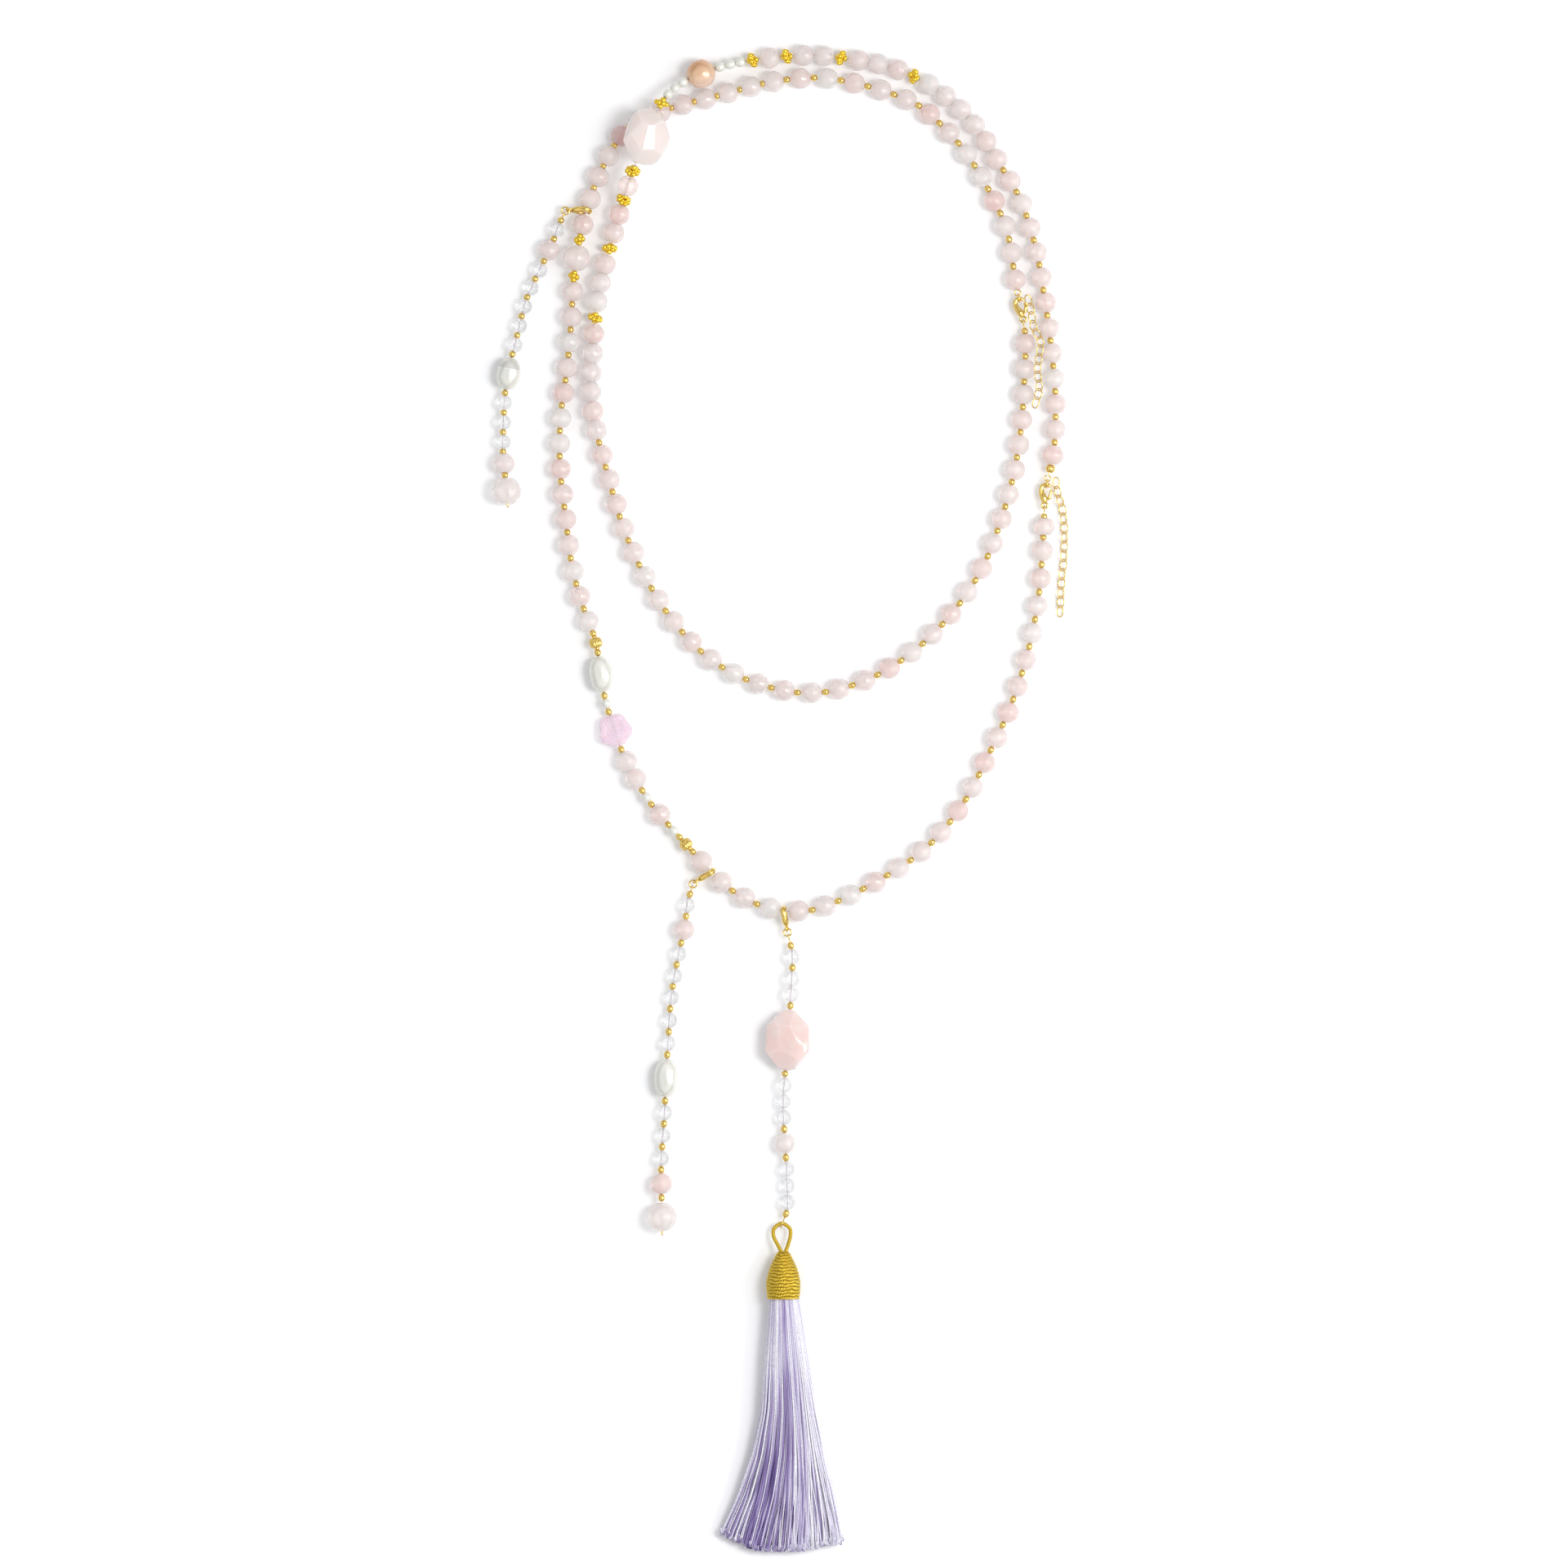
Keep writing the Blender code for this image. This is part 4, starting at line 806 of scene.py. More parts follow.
def make_run(name, body, route, start, end, kinds, start_eye=None, end_eye=None,
             end_eye_mm=EYE_RADIUS_MM, tints=()):
    """All the pieces of one strung run: stone, crystal, pearl, gold and thread."""
    stone, crystal, pearl, metal, flowers = Shape(), Shape(), Shape(), Shape(), Shape()
    own_tints = dict(tints)
    rose_index = 0
    placed_kinds = lay_out(start, end, kinds)
    for index, (kind, first, last) in enumerate(placed_kinds):
        placed = hold_at(route, first, last)
        length_mm = (last - first) / MM
        turn = rotated(chance.uniform(0, 6.28))
        if kind == "rose":
            least = min(ROSE_LEAST_LENGTH_MM, length_mm + ROSE_NEST_MM)
            half = min(ROSE_SHOWN_LENGTH_MM, max(length_mm, least)) / 2
            tint = own_tints.get(rose_index, rose_tint())
            add_round(stone, placed @ turn, ROSE_RADIUS_MM * chance.uniform(0.965, 1.0), half,
                      tint=tint)
            rose_index += 1
        elif kind == "clear":
            half = min(CLEAR_SHOWN_LENGTH_MM, length_mm) / 2
            add_round(crystal, placed @ turn, CLEAR_RADIUS_MM * chance.uniform(0.97, 1.0), half,
                      sides=32, rings=10)
        elif kind == "seed":
            add_pearl(pearl, placed @ turn, SEED_RADIUS_MM, length_mm / 2, index, 0.05,
                      sides=20)
        elif kind == "spacer":
            add_spacer(metal, placed @ turn, length_mm / 2 + SPACER_NEST_MM / 2)
        elif kind == "lantern":
            add_lantern(metal, placed @ turn, length_mm / 2)
        elif kind == "small_daisy":
            add_flower(flowers, placed @ turn, SMALL_DAISY_RADIUS_MM, length_mm / 2, 6, 0.35)
        elif kind == "clamshell":
            add_clamshell(metal, placed @ turn, length_mm / 2)
        elif kind == "tip":
            add_tip(metal, route, first, last)
        elif kind in SEPARATE:
            make_separate(kind, body, route, first, last)
    outward = -route.heading(start)
    if start_eye is not None:
        metal.add(*eye_wire(route.point(start), outward, start_eye, EYE_RADIUS_MM))
    if end_eye is not None:
        metal.add(*eye_wire(route.point(end), route.heading(end), end_eye, end_eye_mm))
    thread_start, thread_end = start, end
    if body.endswith("lower") and kinds[0].endswith("stub"):
        thread_start = placed_kinds[0][2] + FOLD_CLEAR_MM * MM
    if body.endswith("lower") and kinds[-1].endswith("stub"):
        thread_end = placed_kinds[-1][1] - FOLD_CLEAR_MM * MM
    stations = np.linspace(thread_start, thread_end, int((end - start) / (0.9 * MM)) + 4)
    line = Shape()
    line.add(*swept([route.point(station) for station in stations], THREAD_RADIUS_MM * MM, 6))
    line.make(f"{name}_thread", THREAD, body, [name], "rose_quartz")
    for shape, ending, material, slot in (
            (stone, "rose", ROSE, "rose_quartz"), (crystal, "crystal", CLEAR, "clear_quartz"),
            (pearl, "seed_pearls", IVORY, "ivory_pearl"), (metal, "gold", GOLD, "gold"),
            (flowers, "flowers", DAISY_GOLD, "gold")):
        if shape.count:
            shape.make(f"{name}_{ending}", material, body, [name], slot)


bead_count = {}


def make_separate(kind, run_body, route, first, last):
    """A bead that has its own body, made round the run's thread."""
    if kind in ("daisy", "rice_pearl", "end_bead"):
        bead_count[kind] = bead_count.get(kind, 0) + 1
        node = f"{kind}_{bead_count[kind]}"
    else:
        node = kind
    body = node if node in frame["bodies"] else run_body
    placed = hold_at(route, first, last)
    half = np.linalg.norm(route.point(last) - route.point(first)) / MM / 2 - BEAD_GAP_MM
    shape = Shape()
    if kind == "daisy":
        turn = rotated(chance.choice(DAISY_TURNS))
        add_flower(shape, placed @ turn, DAISY_RADIUS_MM, half, 8, 0.42)
        shape.make(f"{node}_flower", DAISY_GOLD, body, [node], "gold")
    elif kind == "peach_pearl":
        add_pearl(shape, placed, PEACH_RADIUS_MM, half, 3.7, 0.07, sides=56)
        shape.make("peach_pearl_nacre", PEACH, body, [node], "peach_pearl")
    elif kind == "rice_pearl":
        add_pearl(shape, placed, RICE_RADIUS_MM, half, 5.1 * bead_count[kind], 0.05,
                  power=2.2, sides=56, banded=node == "rice_pearl_2")
        shape.make(f"{node}_nacre", IVORY, body, [node], "ivory_pearl")
    elif kind in ("rose_large", "end_bead"):
        radius, tint = {"rose_large": (ROSE_LARGE_RADIUS_MM, 0.25),
                        "end_bead": (END_BEAD_RADIUS_MM, 0.12)}[kind]
        add_round(shape, placed, radius, min(half + BEAD_GAP_MM / 2, radius * 0.96), 56, 20,
                  tint=tint)
        shape.make(f"{node}_stone", ROSE, body, [node], "rose_quartz")
    elif kind == "star":
        make_star(placed, half, body)
    else:
        make_nugget(node, placed, half, body)


# ---------------- star and nuggets
def make_star(placed, half, body):
    """The pressed glass star: five round points and fine petal lines raised on its face."""
    rings, sides = 64, 200
    around = 2 * np.pi * np.arange(sides) / sides
    rim = STAR_RADIUS_MM + STAR_POINT_MM * np.cos(5 * around - np.pi / 2)
    rim = np.minimum(rim, (half + 0.1) / np.maximum(np.abs(np.sin(around)), 0.2))
    places = []
    for face_way in (1, -1):
        places.append((0.0, face_way * 2.6, 0.0))
        for ring in range(1, rings + 1 if face_way > 0 else rings):
            out = math.sin(ring / rings * math.pi / 2)
            dome = (1 - out ** 3.6) ** 0.5 if out < 1 else 0.0
            petal = np.cos(2 * np.pi * (5.2 * out + 0.25 * np.sin(5 * around + 2.0)
                                        + 0.1 * np.sin(11 * around)))
            relief = STAR_RELIEF_MM * petal * (1 - out ** 8) if face_way > 0 else 0 * around
            height = face_way * dome * (STAR_HALF_HEIGHT_MM + relief)
            places += list(zip(rim * out * np.cos(around), height, rim * out * np.sin(around)))
    places = np.array(places) * MM
    lower_tip = 1 + rings * sides
    last_lower, last_upper = len(places) - sides, lower_tip - sides
    faces = fan_faces(0, 1, sides, flipped=True) + fan_faces(lower_tip, lower_tip + 1, sides)
    faces += ring_faces(rings, sides, first=1, flipped=True)
    faces += ring_faces(rings - 1, sides, first=lower_tip + 1)
    for side in range(sides):
        after = (side + 1) % sides
        faces.append((last_lower + side, last_upper + side, last_upper + after, last_lower + after))
    shape = Shape()
    shape.add(places, faces, placed)
    shape.make("star_face", STAR, body, ["star"], "star_glass", sharp=80)


# Flat places ground on the nuggets: (east, north, up) of the facet's normal and its reach in mm
NUGGET_FACETS = {
    "nugget_strand": [
        (0.237, -0.073, 1.0, 4.86), (-0.1, 0.01, 1.0, 5.1), (0.88, -0.1, 1.0, 5.14),
        (0.25, 0.75, 1.0, 6.55), (-0.55, 0.45, 1.0, 6.6), (-0.55, -0.3, 1.0, 6.3),
        (0.3, -0.85, 1.0, 6.5), (1.0, 0.5, 0.25, 8.2), (1.0, -0.45, 0.2, 8.0),
        (-1.0, 0.3, 0.2, 8.1), (0.25, 1.0, 0.1, 10.3), (-0.3, -1.0, 0.1, 10.3),
    ],
    "nugget_drop": [
        (0.4, -0.14, 1.0, 6.69), (-0.08, 0.05, 1.0, 5.1), (0.62, 0.45, 1.0, 6.06),
        (-0.5, 0.05, 1.0, 5.95), (-0.25, -0.6, 1.0, 6.75), (-0.05, 0.65, 1.0, 6.8),
        (0.79, 0.61, 0.12, 9.4), (0.78, -0.63, 0.15, 8.9), (-0.75, -0.66, 0.1, 9.3),
        (-0.71, 0.71, 0.1, 9.1), (1.0, 0.05, 0.1, 8.0), (-1.0, 0.05, 0.1, 8.2),
    ],
}
# Each nugget's half width and half height in mm, the power of its roundness and its tint
NUGGETS = {"nugget_strand": (8.3, 5.35, 2.5, 0.24), "nugget_drop": (9.0, 5.35, 2.7, 0.55)}
NUGGET_EDGE_MM = 0.05


def make_nugget(node, placed, half, body):
    """A tumbled stone: a soft oval body with a few broad facets, sharpest on its face."""
    rows, sides = 150, 230
    half_width, half_height, power, tint = NUGGETS[node]
    polar = np.pi * np.arange(1, rows) / rows
    around = 2 * np.pi * np.arange(sides) / sides
    ways = np.stack([np.outer(np.sin(polar), np.cos(around)),
                     np.outer(np.sin(polar), np.sin(around)),
                     np.outer(np.cos(polar), np.ones(sides))], axis=-1).reshape(-1, 3)
    ways = np.vstack([ways, (0, 0, 1), (0, 0, -1)])
    shares = np.abs(ways / (half_width, half_height, half)) ** power
    reaches = [shares.sum(axis=1) ** (-1 / power)]
    for east, north, rise, reach in NUGGET_FACETS[node]:
        for normal in ((east, north, rise), (-east, north, -rise)):
            lean = ways @ (placed[:3, :3].T @ unit(normal))
            reaches.append(np.where(lean > 0.05, reach / np.maximum(lean, 0.05), 1000.0))
    nearest = np.min(reaches, axis=0)
    softened = sum(np.exp((nearest - reach) / NUGGET_EDGE_MM) for reach in reaches)
    places = ways * (nearest - NUGGET_EDGE_MM * np.log(softened))[:, None] * MM
    shape = Shape()
    shape.add(places, closed_rings(rows - 1, sides), placed, tint=tint)
    shape.make(f"{node}_stone", MILKY_ROSE, body, [node], "rose_quartz", sharp=80)


# ---------------- clasps, rings and chains
def clasp_axes(eye, bearing_degrees, upright, roll_degrees=0.0):
    """Clasp axes: X from the eye to the hook; its flat side level, or upright and rolled."""
    bearing = math.radians(bearing_degrees)
    x_axis = np.array((math.cos(bearing), math.sin(bearing), 0.0))
    y_axis = UP if upright else np.array((-x_axis[1], x_axis[0], 0.0))
    placed = np.eye(4)
    placed[:3, 0], placed[:3, 1] = x_axis, y_axis
    placed[:3, 2] = np.cross(x_axis, y_axis)
    placed[:3, 3] = eye
    return placed @ rotated(math.radians(roll_degrees), "X")


# A clasp's rivet (radius, height) and its lever's centres and radii (x, y, radius), mm, and
# the places of the rivet and of the lever's thumb knob
RIVET_OUTLINE_MM = [(0.0001, 1.0), (0.3, 0.98), (0.42, 0.86), (0.42, -0.86), (0.3, -0.98),
                    (0.0001, -1.0)]
LEVER_CENTRES_MM = [(2.1, -0.75, 0.5), (3.0, -1.25, 0.6), (4.0, -1.62, 0.56),
                    (5.0, -1.76, 0.5), (6.0, -1.72, 0.4)]
RIVET_PLACE_MM = (2.75, 0.1, 0.0)
KNOB_PLACE_MM = (3.0, -1.7, 0.0)
KNOB_RADIUS_MM = 0.5


def hook_centres():
    """Centres (x, y) and radii of a lobster clasp's body, from its eye to the hook's tip."""
    outline = [(1.0, 0.0, 0.7), (1.7, 0.2, 1.0), (2.7, 0.68, 1.16), (3.6, 1.15, 1.08),
               (4.5, 1.55, 0.96)]
    for degrees, radius in ((100, 0.86), (80, 0.82), (55, 0.78), (28, 0.76), (0, 0.74),
                            (-25, 0.68), (-44, 0.58), (-55, 0.42)):
        angle = math.radians(degrees)
        outline.append((HOOK_CENTRE_MM + HOOK_RADIUS_MM * math.cos(angle),
                        HOOK_RADIUS_MM * math.sin(angle), radius))
    centres = smooth_path(outline, 5)
    centres[:, 2] *= 1.1
    return centres


def ring_path(radius_mm, steps=40, gap=0.0):
    """A circle in the XY plane, with a gap in radians at +X."""
    return np.array([(radius_mm * MM * math.cos(gap / 2 + (2 * math.pi - gap) * step / steps),
                      radius_mm * MM * math.sin(gap / 2 + (2 * math.pi - gap) * step / steps),
                      0.0) for step in range(steps + (1 if gap else 0))])


def make_clasp(name, placed, body, lever_body):
    """A lobster clasp: hooked body with its eye, raised edge and rivet, and the lever."""
    hook = hook_centres()
    shape = Shape()
    path = np.column_stack([hook[:, 0], hook[:, 1], np.zeros(len(hook))]) * MM
    shape.add(*swept(path, hook[:, 2] * MM, 18, flatten=((0, 0, 1), 0.93)), placed)
    shape.add(*swept(ring_path(CLASP_EYE_RADIUS_MM), CLASP_EYE_WIRE_MM * MM, 12, closed=True),
              placed)
    for side in (1, -1):
        edge = np.column_stack([hook[4:-8, 0], hook[4:-8, 1] + 0.18,
                                np.full(len(hook) - 12, side * 0.82)]) * MM
        shape.add(*swept(edge, 0.2 * MM, 8), placed)
    shape.add(*turned(np.array(RIVET_OUTLINE_MM) * MM, 18), placed @ shifted(*RIVET_PLACE_MM))
    shape.make(f"{name}_case", GOLD, body, [f"{name}_body"], "gold", sharp=60)

    lever = Shape()
    outline = smooth_path(LEVER_CENTRES_MM, 6)
    path = np.column_stack([outline[:, 0], outline[:, 1], np.zeros(len(outline))]) * MM
    lever.add(*swept(path, outline[:, 2] * MM, 14, flatten=((0, 0, 1), 0.95)), placed)
    lever.add(*ball(KNOB_RADIUS_MM * MM, 16, 10), placed @ shifted(*KNOB_PLACE_MM))
    lever.make(f"{name}_latch", GOLD, lever_body, [f"{name}_lever"], "gold", sharp=60)


def make_ring(name, node, placed, radius_mm, wire_mm, body):
    """A wire ring with the fine cut where it was closed."""
    shape = Shape()
    path = ring_path(radius_mm, 44, gap=0.05)
    shape.add(*swept(path, wire_mm * MM, 12), placed)
    shape.make(name, GOLD, body, [node], "gold", sharp=60)


def link_path(half_length_mm, half_width_mm, steps=28):
    """An oval link in the XZ plane, long along Z."""
    return np.array([(half_width_mm * MM * math.sin(2 * math.pi * step / steps), 0.0,
                      half_length_mm * MM * math.cos(2 * math.pi * step / steps))
                     for step in range(steps)])


def make_chain(number, route_mm, links):
    """An extender chain: oval links, turned a quarter from one to the next."""
    route = Route(route_mm)
    pitch = route.length / links
    halves = {"upper": Shape(), "lower": Shape()}
    for link in range(links):
        middle = (link + 0.5) * pitch
        half = "upper" if link < CHAIN_BEND_LINK else "lower"
        lean = LINK_TURN_DEGREES if link % 2 else -LINK_TURN_DEGREES
        turn = math.radians(lean) + chance.uniform(-0.1, 0.1)
        placed = axes_at(route.point(middle), route.heading(middle, pitch / 2), turn)
        oval = link_path(pitch / MM / 2 + LINK_OVERLAP_MM, LINK_HALF_WIDTH_MM)
        halves[half].add(*swept(oval, LINK_WIRE_MM * MM, 10, closed=True), placed)
    for half, shape in halves.items():
        node = f"chain_{number}_{half}"
        shape.make(f"{node}_links", GOLD, node, [node], "gold", sharp=60)


# ---------------- tassel
def make_loop():
    """The tassel's loop: a core wound with gold thread."""
    legs = [(0.9, -166.9, 6.3)] + LOOP_ROUTE + [(1.9, -166.9, 6.3)]
    route = Route(legs, steps=24)
    steps = int(route.length / (0.085 * MM))
    path = [route.point(route.length * step / steps) for step in range(steps + 1)]
    wraps = 2 * math.pi / (CORD_WRAP_MM * MM)

    def wound(around, along):
        return 1 - CORD_RIDGE * (1 - np.abs(np.sin((along * wraps + around) / 2)))

    places, faces = swept(path, CORD_RADIUS_MM * MM, 20, ridge=wound)
    centres = np.repeat(np.array(path), 20, axis=0)
    reach = np.linalg.norm(places[:len(centres)] - centres, axis=1) / (CORD_RADIUS_MM * MM)
    # depth: 0 in the grooves, 1 on the crests; the gold_cord material paints shade into the grooves
    # by it
    depth = np.concatenate([np.clip((reach - 1 + CORD_RIDGE) / CORD_RIDGE, 0, 1), [0.5, 0.5]])
    shape = Shape()
    shape.add(places, faces, depth=depth)
    shape.make("tassel_loop_cord", CORD, "tassel_loop", ["tassel_loop"], "gold_cord", sharp=80)


# The cap's radius and height from its top, and the height of one row of cord, mm
CAP_OUTLINE_MM = [(0.9, 0.55), (1.7, 0.3), (2.45, -0.6), (3.5, -2.7), (4.7, -5.3), (5.6, -8.1),
                  (6.1, -11.0), (6.05, -14.0), (5.7, -17.0)]
CAP_ROW_MM = 1.22


def make_cap():
    """The cap: rows of twisted gold cord wound over a bullet-shaped core."""
    outline = smooth_path(CAP_OUTLINE_MM, 26)
    sides = 260
    around = 2 * np.pi * np.arange(sides) / sides
    distance = np.concatenate([[0], np.cumsum(np.linalg.norm(np.diff(outline, axis=0), axis=1))])
    places, depths = [], []
    for (radius, height), along in zip(outline, distance):
        lift = (0.2 * np.sin(3 * around + 1.0) + 0.16 * np.sin(7 * around + 0.8 * along)
                + 0.1 * np.sin(13 * around - 1.7 * along))
        row = (along + lift) / CAP_ROW_MM
        ridge = np.abs(np.sin(np.pi * row))
        strands = np.maximum(10.0, round(radius * 2 * math.pi / 0.95))
        ply = np.abs(np.sin(strands * around / 2 + 2.4 * np.floor(row) + 2.6 * row))
        swell = 0.5 * ridge ** 0.55 * (0.3 + 0.7 * ply ** 0.75)
        reach = radius - 0.25 + swell
        places.append(np.stack([reach * np.cos(around), reach * np.sin(around),
                                np.full(sides, height)], axis=-1))
        # depth: low between the rows of cord, where the gold_cord material paints shade
        depths.append(np.clip(swell / 0.45, 0, 1))
    faces = closed_rings(len(places), sides)
    places = np.vstack(places + [(0, 0, 0.5), (0, 0, -17.0)]) * MM
    shape = Shape()
    placed = axes_at(np.array(CAP_TOP) * MM, (0, 1, 0))
    shape.add(places, faces, placed, depth=np.concatenate([np.concatenate(depths), [0.3, 0.1]]))
    shape.make("tassel_cap_cord", CORD, "tassel", ["tassel_cap"], "gold_cord", sharp=80)


# The skirt: part of its length, middle x, half width, half height, mm
SKIRT_SECTIONS = [(0.0, 1.6, 5.0, 5.1), (0.06, 1.9, 5.7, 5.6), (0.25, 2.5, 7.9, 6.0),
                  (0.45, 3.3, 10.0, 5.6), (0.62, 3.1, 13.2, 5.0), (0.78, 2.2, 17.4, 4.2),
                  (0.9, 0.8, 21.2, 3.5), (1.0, -0.4, 24.0, 2.9)]
SKIRT_THREADS = 840
GOLDEN_ANGLE = 2.399963  # radians from each thread to the next, which spreads them evenly


def skirt_section(part):
    """Middle x, half width, half height and middle z of the skirt, in mm."""
    parts = [section[0] for section in SKIRT_SECTIONS]
    middle, width, height = (np.interp(part, parts, [section[column]
                                                     for section in SKIRT_SECTIONS])
                             for column in (1, 2, 3))
    rest = height + 0.3
    share = min(part / 0.3, 1.0)
    settled = share * share * (3 - 2 * share)
    return middle, width, height, CAP_TOP[2] + (rest - CAP_TOP[2]) * settled


def silk_tone(across, part, phase):
    """How light a thread is: painted highlight, white, where it catches the light and near the top;
    painted shade, purple, in the left folds and in a stripe near the middle.
    """
    tone = 0.74 + 0.1 * math.sin(14 * across + phase) + 0.07 * math.sin(23 * part + 3 * phase)
    # painted shade: purple in the folds on the left, from a quarter of the way down
    fold_shade = math.exp(-((across + 0.42) / 0.3) ** 2) * min(max((part - 0.25) / 0.4, 0), 1)
    # painted highlight: a lighter band near the top of the skirt
    painted_sheen = 0.07 * math.exp(-((part - 0.2) / 0.13) ** 2)
    # painted shade: a darker stripe just right of the middle
    return tone + painted_sheen - 0.5 * fold_shade - 0.06 * math.exp(-((across - 0.1) / 0.12) ** 2)


def make_skirt():
    """Hundreds of twisted silk threads, fanned out, each with a small cut loop at the hem."""
    draws = random.Random(23)
    shapes = {"front": Shape(), "middle": Shape(), "under": Shape()}
    length = SKIRT_TOP_Y_MM - SKIRT_END_Y_MM
    steps = 24
    for index in range(SKIRT_THREADS):
        turn = GOLDEN_ANGLE * index
        reach = math.sqrt((index + 0.5) / SKIRT_THREADS)
        across, lift = reach * math.cos(turn), reach * math.sin(turn)
        sway, phase = draws.uniform(-0.035, 0.035), draws.uniform(0, 6.28)
        drift = draws.uniform(-0.07, 0.07)
        hem = 0.075 * max(-across, 0) ** 2 + 0.045 * max(across, 0) ** 2.5
        stop = draws.uniform(0.978, 0.994) - hem
        shift = draws.uniform(-0.4, 0.32)
        points, tones = [], []
        for step in range(steps + 1):
            part = stop * step / steps
            middle, width, height, middle_z = skirt_section(part)
            lane = across + sway * math.sin(2.2 * math.pi * part + phase) * part * 2
            lane += drift * part * part + 0.05 * part * math.sin(9 * across)
            points.append((middle + width * max(-1, min(1, lane)),
                           SKIRT_TOP_Y_MM + 1.2 - (length + 1.2) * part,
                           max(middle_z + height * lift * (1 - 0.1 * part) * 0.93, 0.4)))
            # each thread's own tone (shift) plus the painted highlight and painted shade from
            # silk_tone
            tones.append(silk_tone(across, part, phase) + shift)
        x, y, z = points[-1]
        way = draws.choice((-1, 1))
        points += [(x + way * 0.25, y - 0.55, max(z - 0.1, 0.4)),
                   (x + way * 0.6, y - 0.6, max(z, 0.4)),
                   (x + way * 0.7, y + 0.1, max(z + 0.15, 0.4)),
                   (x + way * 0.45, y + 0.8, max(z + 0.2, 0.4))]
        tones += [tones[-1]] * 4
        radius = draws.uniform(0.22, 0.31)
        radii = [radius * 0.85] + [radius] * (len(points) - 5) + [radius * 0.8] * 4
        shape = shapes["front" if lift > 0.25 else "middle" if lift > -0.25 else "under"]
        tint = np.clip(np.append(np.repeat(tones, 6), (tones[0], tones[-1])), 0, 1)
        shape.add(*swept(np.array(points) * MM, np.array(radii) * MM, 6), tint=tint)
    for half, shape in shapes.items():
        shape.make(f"tassel_threads_{half}", SILK, "tassel", ["tassel_skirt"], "lilac_silk",
                   sharp=80)


# ---------------- stage
FLOOR_HALF = 15
FLOOR_COLOUR = (0.9, 0.905, 0.915)
# Disk lights: name, place, size in metres, watts
LIGHTS = (("key", (0.66, 0.1, 1.45), 0.55, 10.5), ("side", (1.3, -0.1, 0.95), 0.9, 8.0))
# The sky's grey by the sine of the height above the horizon: dark low down, dimmer overhead
SKY = ((0.0, (0.06, 0.06, 0.06)), (0.18, (0.1, 0.1, 0.1)), (0.32, (0.75, 0.75, 0.77)),
       (0.5, (1.0, 1.0, 1.02)), (0.86, (1.0, 1.0, 1.0)), (0.95, (0.5, 0.5, 0.5)),
       (1.0, (0.35, 0.35, 0.35)))
SKY_STRENGTH = 0.95
CAMERA_PLACE = (0.00165, 0.00525, 4.8)
CAMERA_LENS_MM = 300.0


def stage():
    """A plain white floor, soft light from the upper right, and the straight-down camera."""
    floor_mesh = bpy.data.meshes.new("floor")
    corners = [(-FLOOR_HALF, -FLOOR_HALF, 0), (FLOOR_HALF, -FLOOR_HALF, 0),
               (FLOOR_HALF, FLOOR_HALF, 0), (-FLOOR_HALF, FLOOR_HALF, 0)]
    floor_mesh.from_pydata(corners, [], [(0, 1, 2, 3)])
    floor_material, _, _ = new_material("floor_white", FLOOR_COLOUR, 0.75)
    floor_mesh.materials.append(floor_material)
    floor = bpy.data.objects.new("floor", floor_mesh)
    bpy.context.scene.collection.objects.link(floor)

    for name, place, size, energy in LIGHTS:
        light = bpy.data.lights.new(name, "AREA")
        light.shape = "DISK"
        light.size = size
        light.energy = energy
        lamp = bpy.data.objects.new(name, light)
        lamp.location = place
        lamp.rotation_euler = (-Vector(place)).to_track_quat("-Z", "Y").to_euler()
        bpy.context.scene.collection.objects.link(lamp)

    world = bpy.data.worlds.new("studio")
    world.use_nodes = True
    tree = world.node_tree
    background = tree.nodes["Background"]
    direction = add(tree, "ShaderNodeTexCoord").outputs["Generated"]
    height = add(tree, "ShaderNodeSeparateXYZ")
    tree.links.new(direction, height.inputs["Vector"])
    tree.links.new(ramp(tree, height.outputs["Z"], SKY), background.inputs["Color"])
    background.inputs["Strength"].default_value = SKY_STRENGTH
    bpy.context.scene.world = world
    bpy.context.scene.view_settings.view_transform = "Standard"

    camera = bpy.data.objects.new("camera", bpy.data.cameras.new("camera"))
    camera.data.lens = CAMERA_LENS_MM
    camera.location = CAMERA_PLACE
    camera.data.clip_end = 20.0
    bpy.context.scene.collection.objects.link(camera)
    bpy.context.scene.camera = camera


# ---------------- the object
def bearing_vector(degrees):
    return np.array((math.cos(math.radians(degrees)), math.sin(math.radians(degrees)), 0.0))


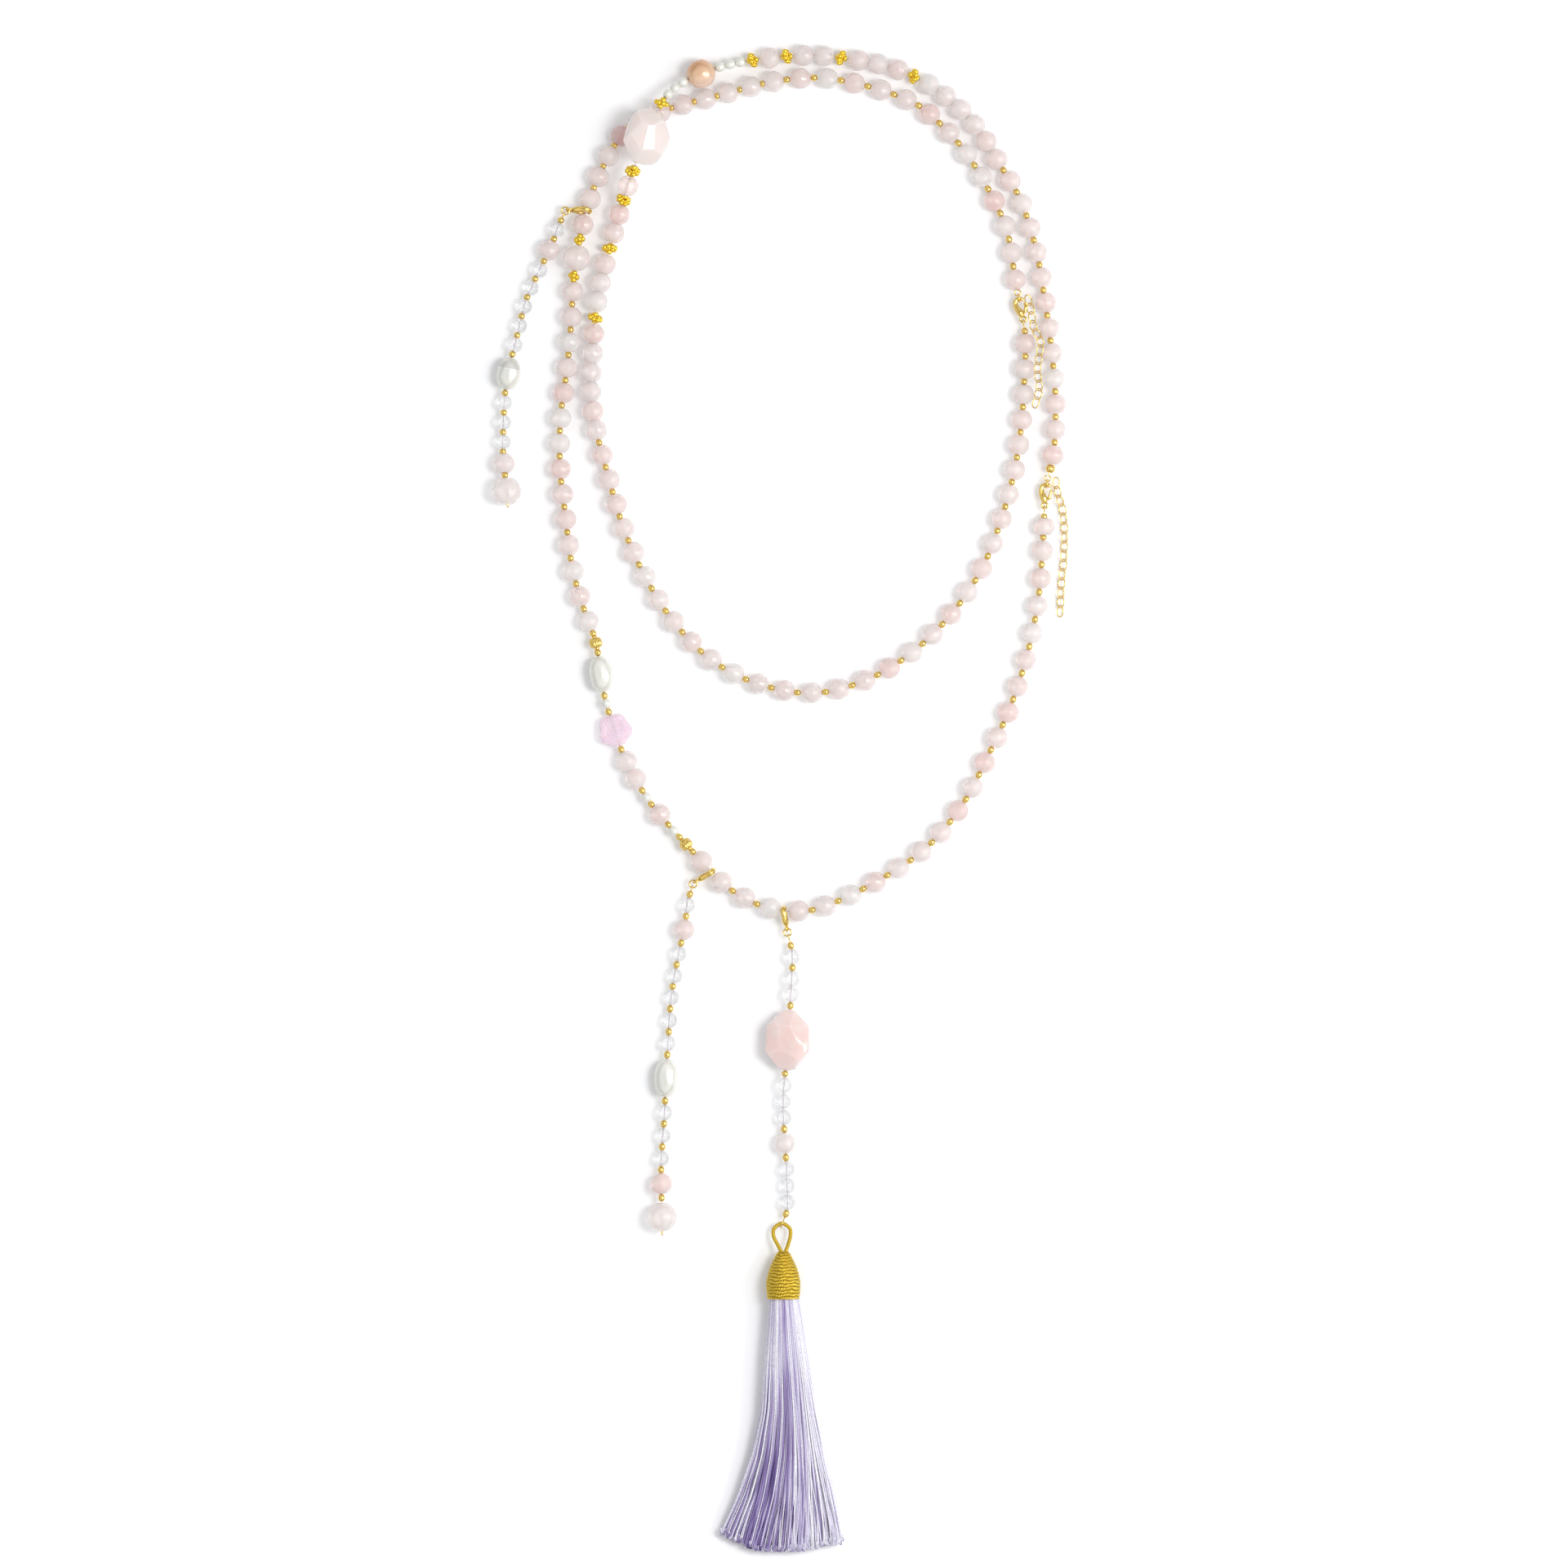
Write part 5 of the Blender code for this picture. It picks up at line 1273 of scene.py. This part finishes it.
def make_drop(number, route_mm, hold, upper, lower, **eyes):
    """A clip-on drop: clasp round the strand, jump ring, and two strung runs with a bend."""
    clasp_bearing, ring_bearing, drop_bearing = DROP_BEARINGS[number - 1]
    eye = hold - bearing_vector(clasp_bearing) * THREAD_IN_HOOK_MM * MM
    name = f"drop_{number}"
    make_clasp(f"{name}_clasp",
               clasp_axes(eye, clasp_bearing, True, CLASP_ROLLS_DEGREES[number - 1]),
               "upper_strands" if number == 1 else "outer_lower", f"{name}_clasp_lever")
    eye_wire_place = eye - bearing_vector(clasp_bearing) * CLASP_EYE_RADIUS_MM * MM
    ring_centre = eye_wire_place + bearing_vector(ring_bearing) * JUMP_RING_SET_MM * MM
    ring_placed = shifted(*ring_centre / MM)
    turn = rotated(math.radians(ring_bearing + 70))
    make_ring(f"{name}_jump_ring", f"{name}_ring", ring_placed @ turn, JUMP_RING_RADIUS_MM,
              JUMP_RING_WIRE_MM, f"{name}_ring")
    neck = ring_centre + bearing_vector(drop_bearing) * DROP_NECK_MM * MM
    route = Route([tuple(neck / MM)] + route_mm)
    bend_station = route.near(DROP_BENDS[number - 1])
    gap = BEND_CLEAR_MM * MM
    make_run(f"{name}_upper", f"{name}_upper", route, 0.0, bend_station - gap,
             upper + ["bend_stub"], start_eye=UP)
    make_run(f"{name}_lower", f"{name}_lower", route, bend_station + gap, route.length,
             ["bend_stub"] + lower, **eyes)
    make_hinge(f"{name}_bend", f"{name}_upper", route, bend_station)


def make_hinge(name, body, route, station):
    """The gold ball between two beads where the thread bends; it rides on the fixed side."""
    shape = Shape()
    placed = axes_at(route.point(station), route.heading(station, 0.002))
    outline = round_outline(HINGE_BALL_RADIUS_MM * MM, HINGE_BALL_RADIUS_MM * 0.93 * MM,
                            bore=0.4 * MM, rings=8)
    shape.add(*turned(outline, 24), placed)
    shape.make(f"{name}_spacer", GOLD, body, slot="gold")


outer = Route(OUTER_ROUTE)
inner = Route(INNER_ROUTE)
half_gap = GAP_MM * MM / 2
fold_clear = FOLD_CLEAR_MM * MM
slot_half = CLASP_SLOT_MM * MM / 2

# Outer strand, from the ring at clasp 1, over the top, down the left and round the bottom
split = outer.near(OUTER_SPLIT)
fold_left, fold_right = outer.near(OUTER_FOLD_LEFT), outer.near(OUTER_FOLD_RIGHT)
holds = [outer.near(hold) for hold in DROP_HOLDS]
make_run("outer_strand_1", "upper_strands", outer, 0.0, split - half_gap, spaced("rose", 13),
         start_eye=np.cross(outer.heading(0.0), UP))
make_run("outer_strand_2", "upper_strands", outer, split + half_gap, holds[0] + slot_half,
         spaced("rose", 10) + ["rose", "clasp_slot"], tints={7: 0.85})
make_run("outer_strand_3", "upper_strands", outer, holds[0] + slot_half + half_gap * 2,
         fold_left - fold_clear,
         ["rose", "small_daisy", "rose_large", "small_daisy"] + spaced("rose", 9)
         + ["rose", "fold_stub"])
make_run("outer_strand_4", "outer_lower", outer, fold_left + fold_clear, holds[1] + slot_half,
         ["fold_stub"] + spaced("rose", 4)
         + ["lantern", "spacer", "rice_pearl", "spacer", "seed", "spacer", "star", "spacer",
            "rose", "rose", "spacer", "seed", "spacer", "rose", "spacer", "seed", "spacer",
            "lantern", "spacer", "rose", "clasp_slot"])
make_run("outer_strand_5", "outer_lower", outer, holds[1] + slot_half + half_gap * 2,
         fold_right - fold_clear,
         spaced("rose", 2) + ["rose", "clasp_slot"] + spaced("rose", 17)
         + ["rose", "fold_stub"])
make_run("outer_strand_6", "upper_strands", outer, fold_right + fold_clear, outer.length,
         ["fold_stub", "rose", "spacer", "wire"], end_eye=UP)
make_hinge("outer_fold_left", "upper_strands", outer, fold_left)
make_hinge("outer_fold_right", "upper_strands", outer, fold_right)

# Inner strand, from the ring at clasp 2, up the right, over the top and down the inside
split_top, split_nugget = inner.near(INNER_SPLIT_TOP), inner.near(INNER_SPLIT_NUGGET)
split_low = inner.near(INNER_SPLIT_LOW)
fold_left, fold_right = inner.near(INNER_FOLD_LEFT), inner.near(INNER_FOLD_RIGHT)
make_run("inner_strand_1", "upper_strands", inner, 0.0, split_top - half_gap,
         ["wire", "clamshell"] + spaced("rose", 12) + ["rose"],
         start_eye=np.cross(inner.heading(0.0), UP))
make_run("inner_strand_2", "upper_strands", inner, split_top + half_gap,
         split_nugget - half_gap,
         ["rose"] * 5 + ["daisy"] + ["rose"] * 3
         + ["daisy", "rose", "rose", "daisy", "rose", "daisy"]
         + ["seed"] * 3 + ["peach_pearl"] + ["seed"] * 3 + ["daisy", "nugget_strand", "daisy"])
make_run("inner_strand_3", "upper_strands", inner, split_nugget + half_gap,
         fold_left - fold_clear,
         ["rose", "daisy", "rose", "rose", "daisy", "rose", "rose", "rose", "daisy"]
         + ["rose"] * 6 + ["spacer"] + spaced("rose", 3) + ["rose", "fold_stub"])
make_run("inner_strand_4", "inner_lower", inner, fold_left + fold_clear, split_low - half_gap,
         ["fold_stub"] + spaced("rose", 9))
make_run("inner_strand_5", "inner_lower", inner, split_low + half_gap,
         fold_right - fold_clear, spaced("rose", 9) + ["rose", "fold_stub"])
make_run("inner_strand_6", "upper_strands", inner, fold_right + fold_clear, inner.length,
         ["fold_stub"] + spaced("rose", 8) + ["wire"], end_eye=UP)
make_hinge("inner_fold_left", "upper_strands", inner, fold_left)
make_hinge("inner_fold_right", "upper_strands", inner, fold_right)

# The two lobster clasps that join the strands, each hooked into the other strand's ring
for number, strand in ((1, inner), (2, outer)):
    bearing = STRAND_CLASP_BEARINGS[number - 1]
    eye = strand.point(strand.length) + strand.heading(strand.length) * STRAND_EYE_SET_MM * MM
    make_clasp(f"strand_clasp_{number}", clasp_axes(eye, bearing, False), "upper_strands",
               f"strand_clasp_{number}_lever")
    ring_centre = eye + bearing_vector(bearing) * END_RING_SET_MM * MM
    make_ring(f"strand_end_ring_{number}", f"strand_ring_{number}",
              clasp_axes(ring_centre, bearing, True), END_RING_RADIUS_MM, END_RING_WIRE_MM,
              "upper_strands")

make_chain(1, CHAIN_1_ROUTE, CHAIN_1_LINKS)
make_chain(2, CHAIN_2_ROUTE, CHAIN_2_LINKS)

# Clip-on drops
hold_points = [outer.point(hold) for hold in holds]
make_drop(1, DROP_1_ROUTE, hold_points[0],
          ["spacer", "clear", "spacer", "rose"] + ["spacer", "clear"] * 3,
          ["clear", "spacer", "clear", "spacer", "rice_pearl"] + ["spacer", "clear"] * 3
          + ["spacer", "rose", "spacer", "end_bead", "tip"])
make_drop(2, DROP_2_ROUTE, hold_points[1],
          ["spacer", "clear", "spacer", "rose", "spacer", "clear", "spacer", "clear"],
          ["clear", "spacer"] * 3 + ["rice_pearl"] + ["spacer", "clear"] * 3
          + ["spacer", "rose", "spacer", "end_bead", "tip"])
make_drop(3, DROP_3_ROUTE, hold_points[2],
          ["wire", "spacer", "clear", "spacer", "clear", "clear", "spacer", "nugget_drop"],
          ["clear"] * 3 + ["spacer", "rose", "spacer"] + ["clear"] * 3 + ["spacer", "wire"],
          end_eye=UP, end_eye_mm=TASSEL_EYE_RADIUS_MM)

make_loop()
make_cap()
make_skirt()

stage()
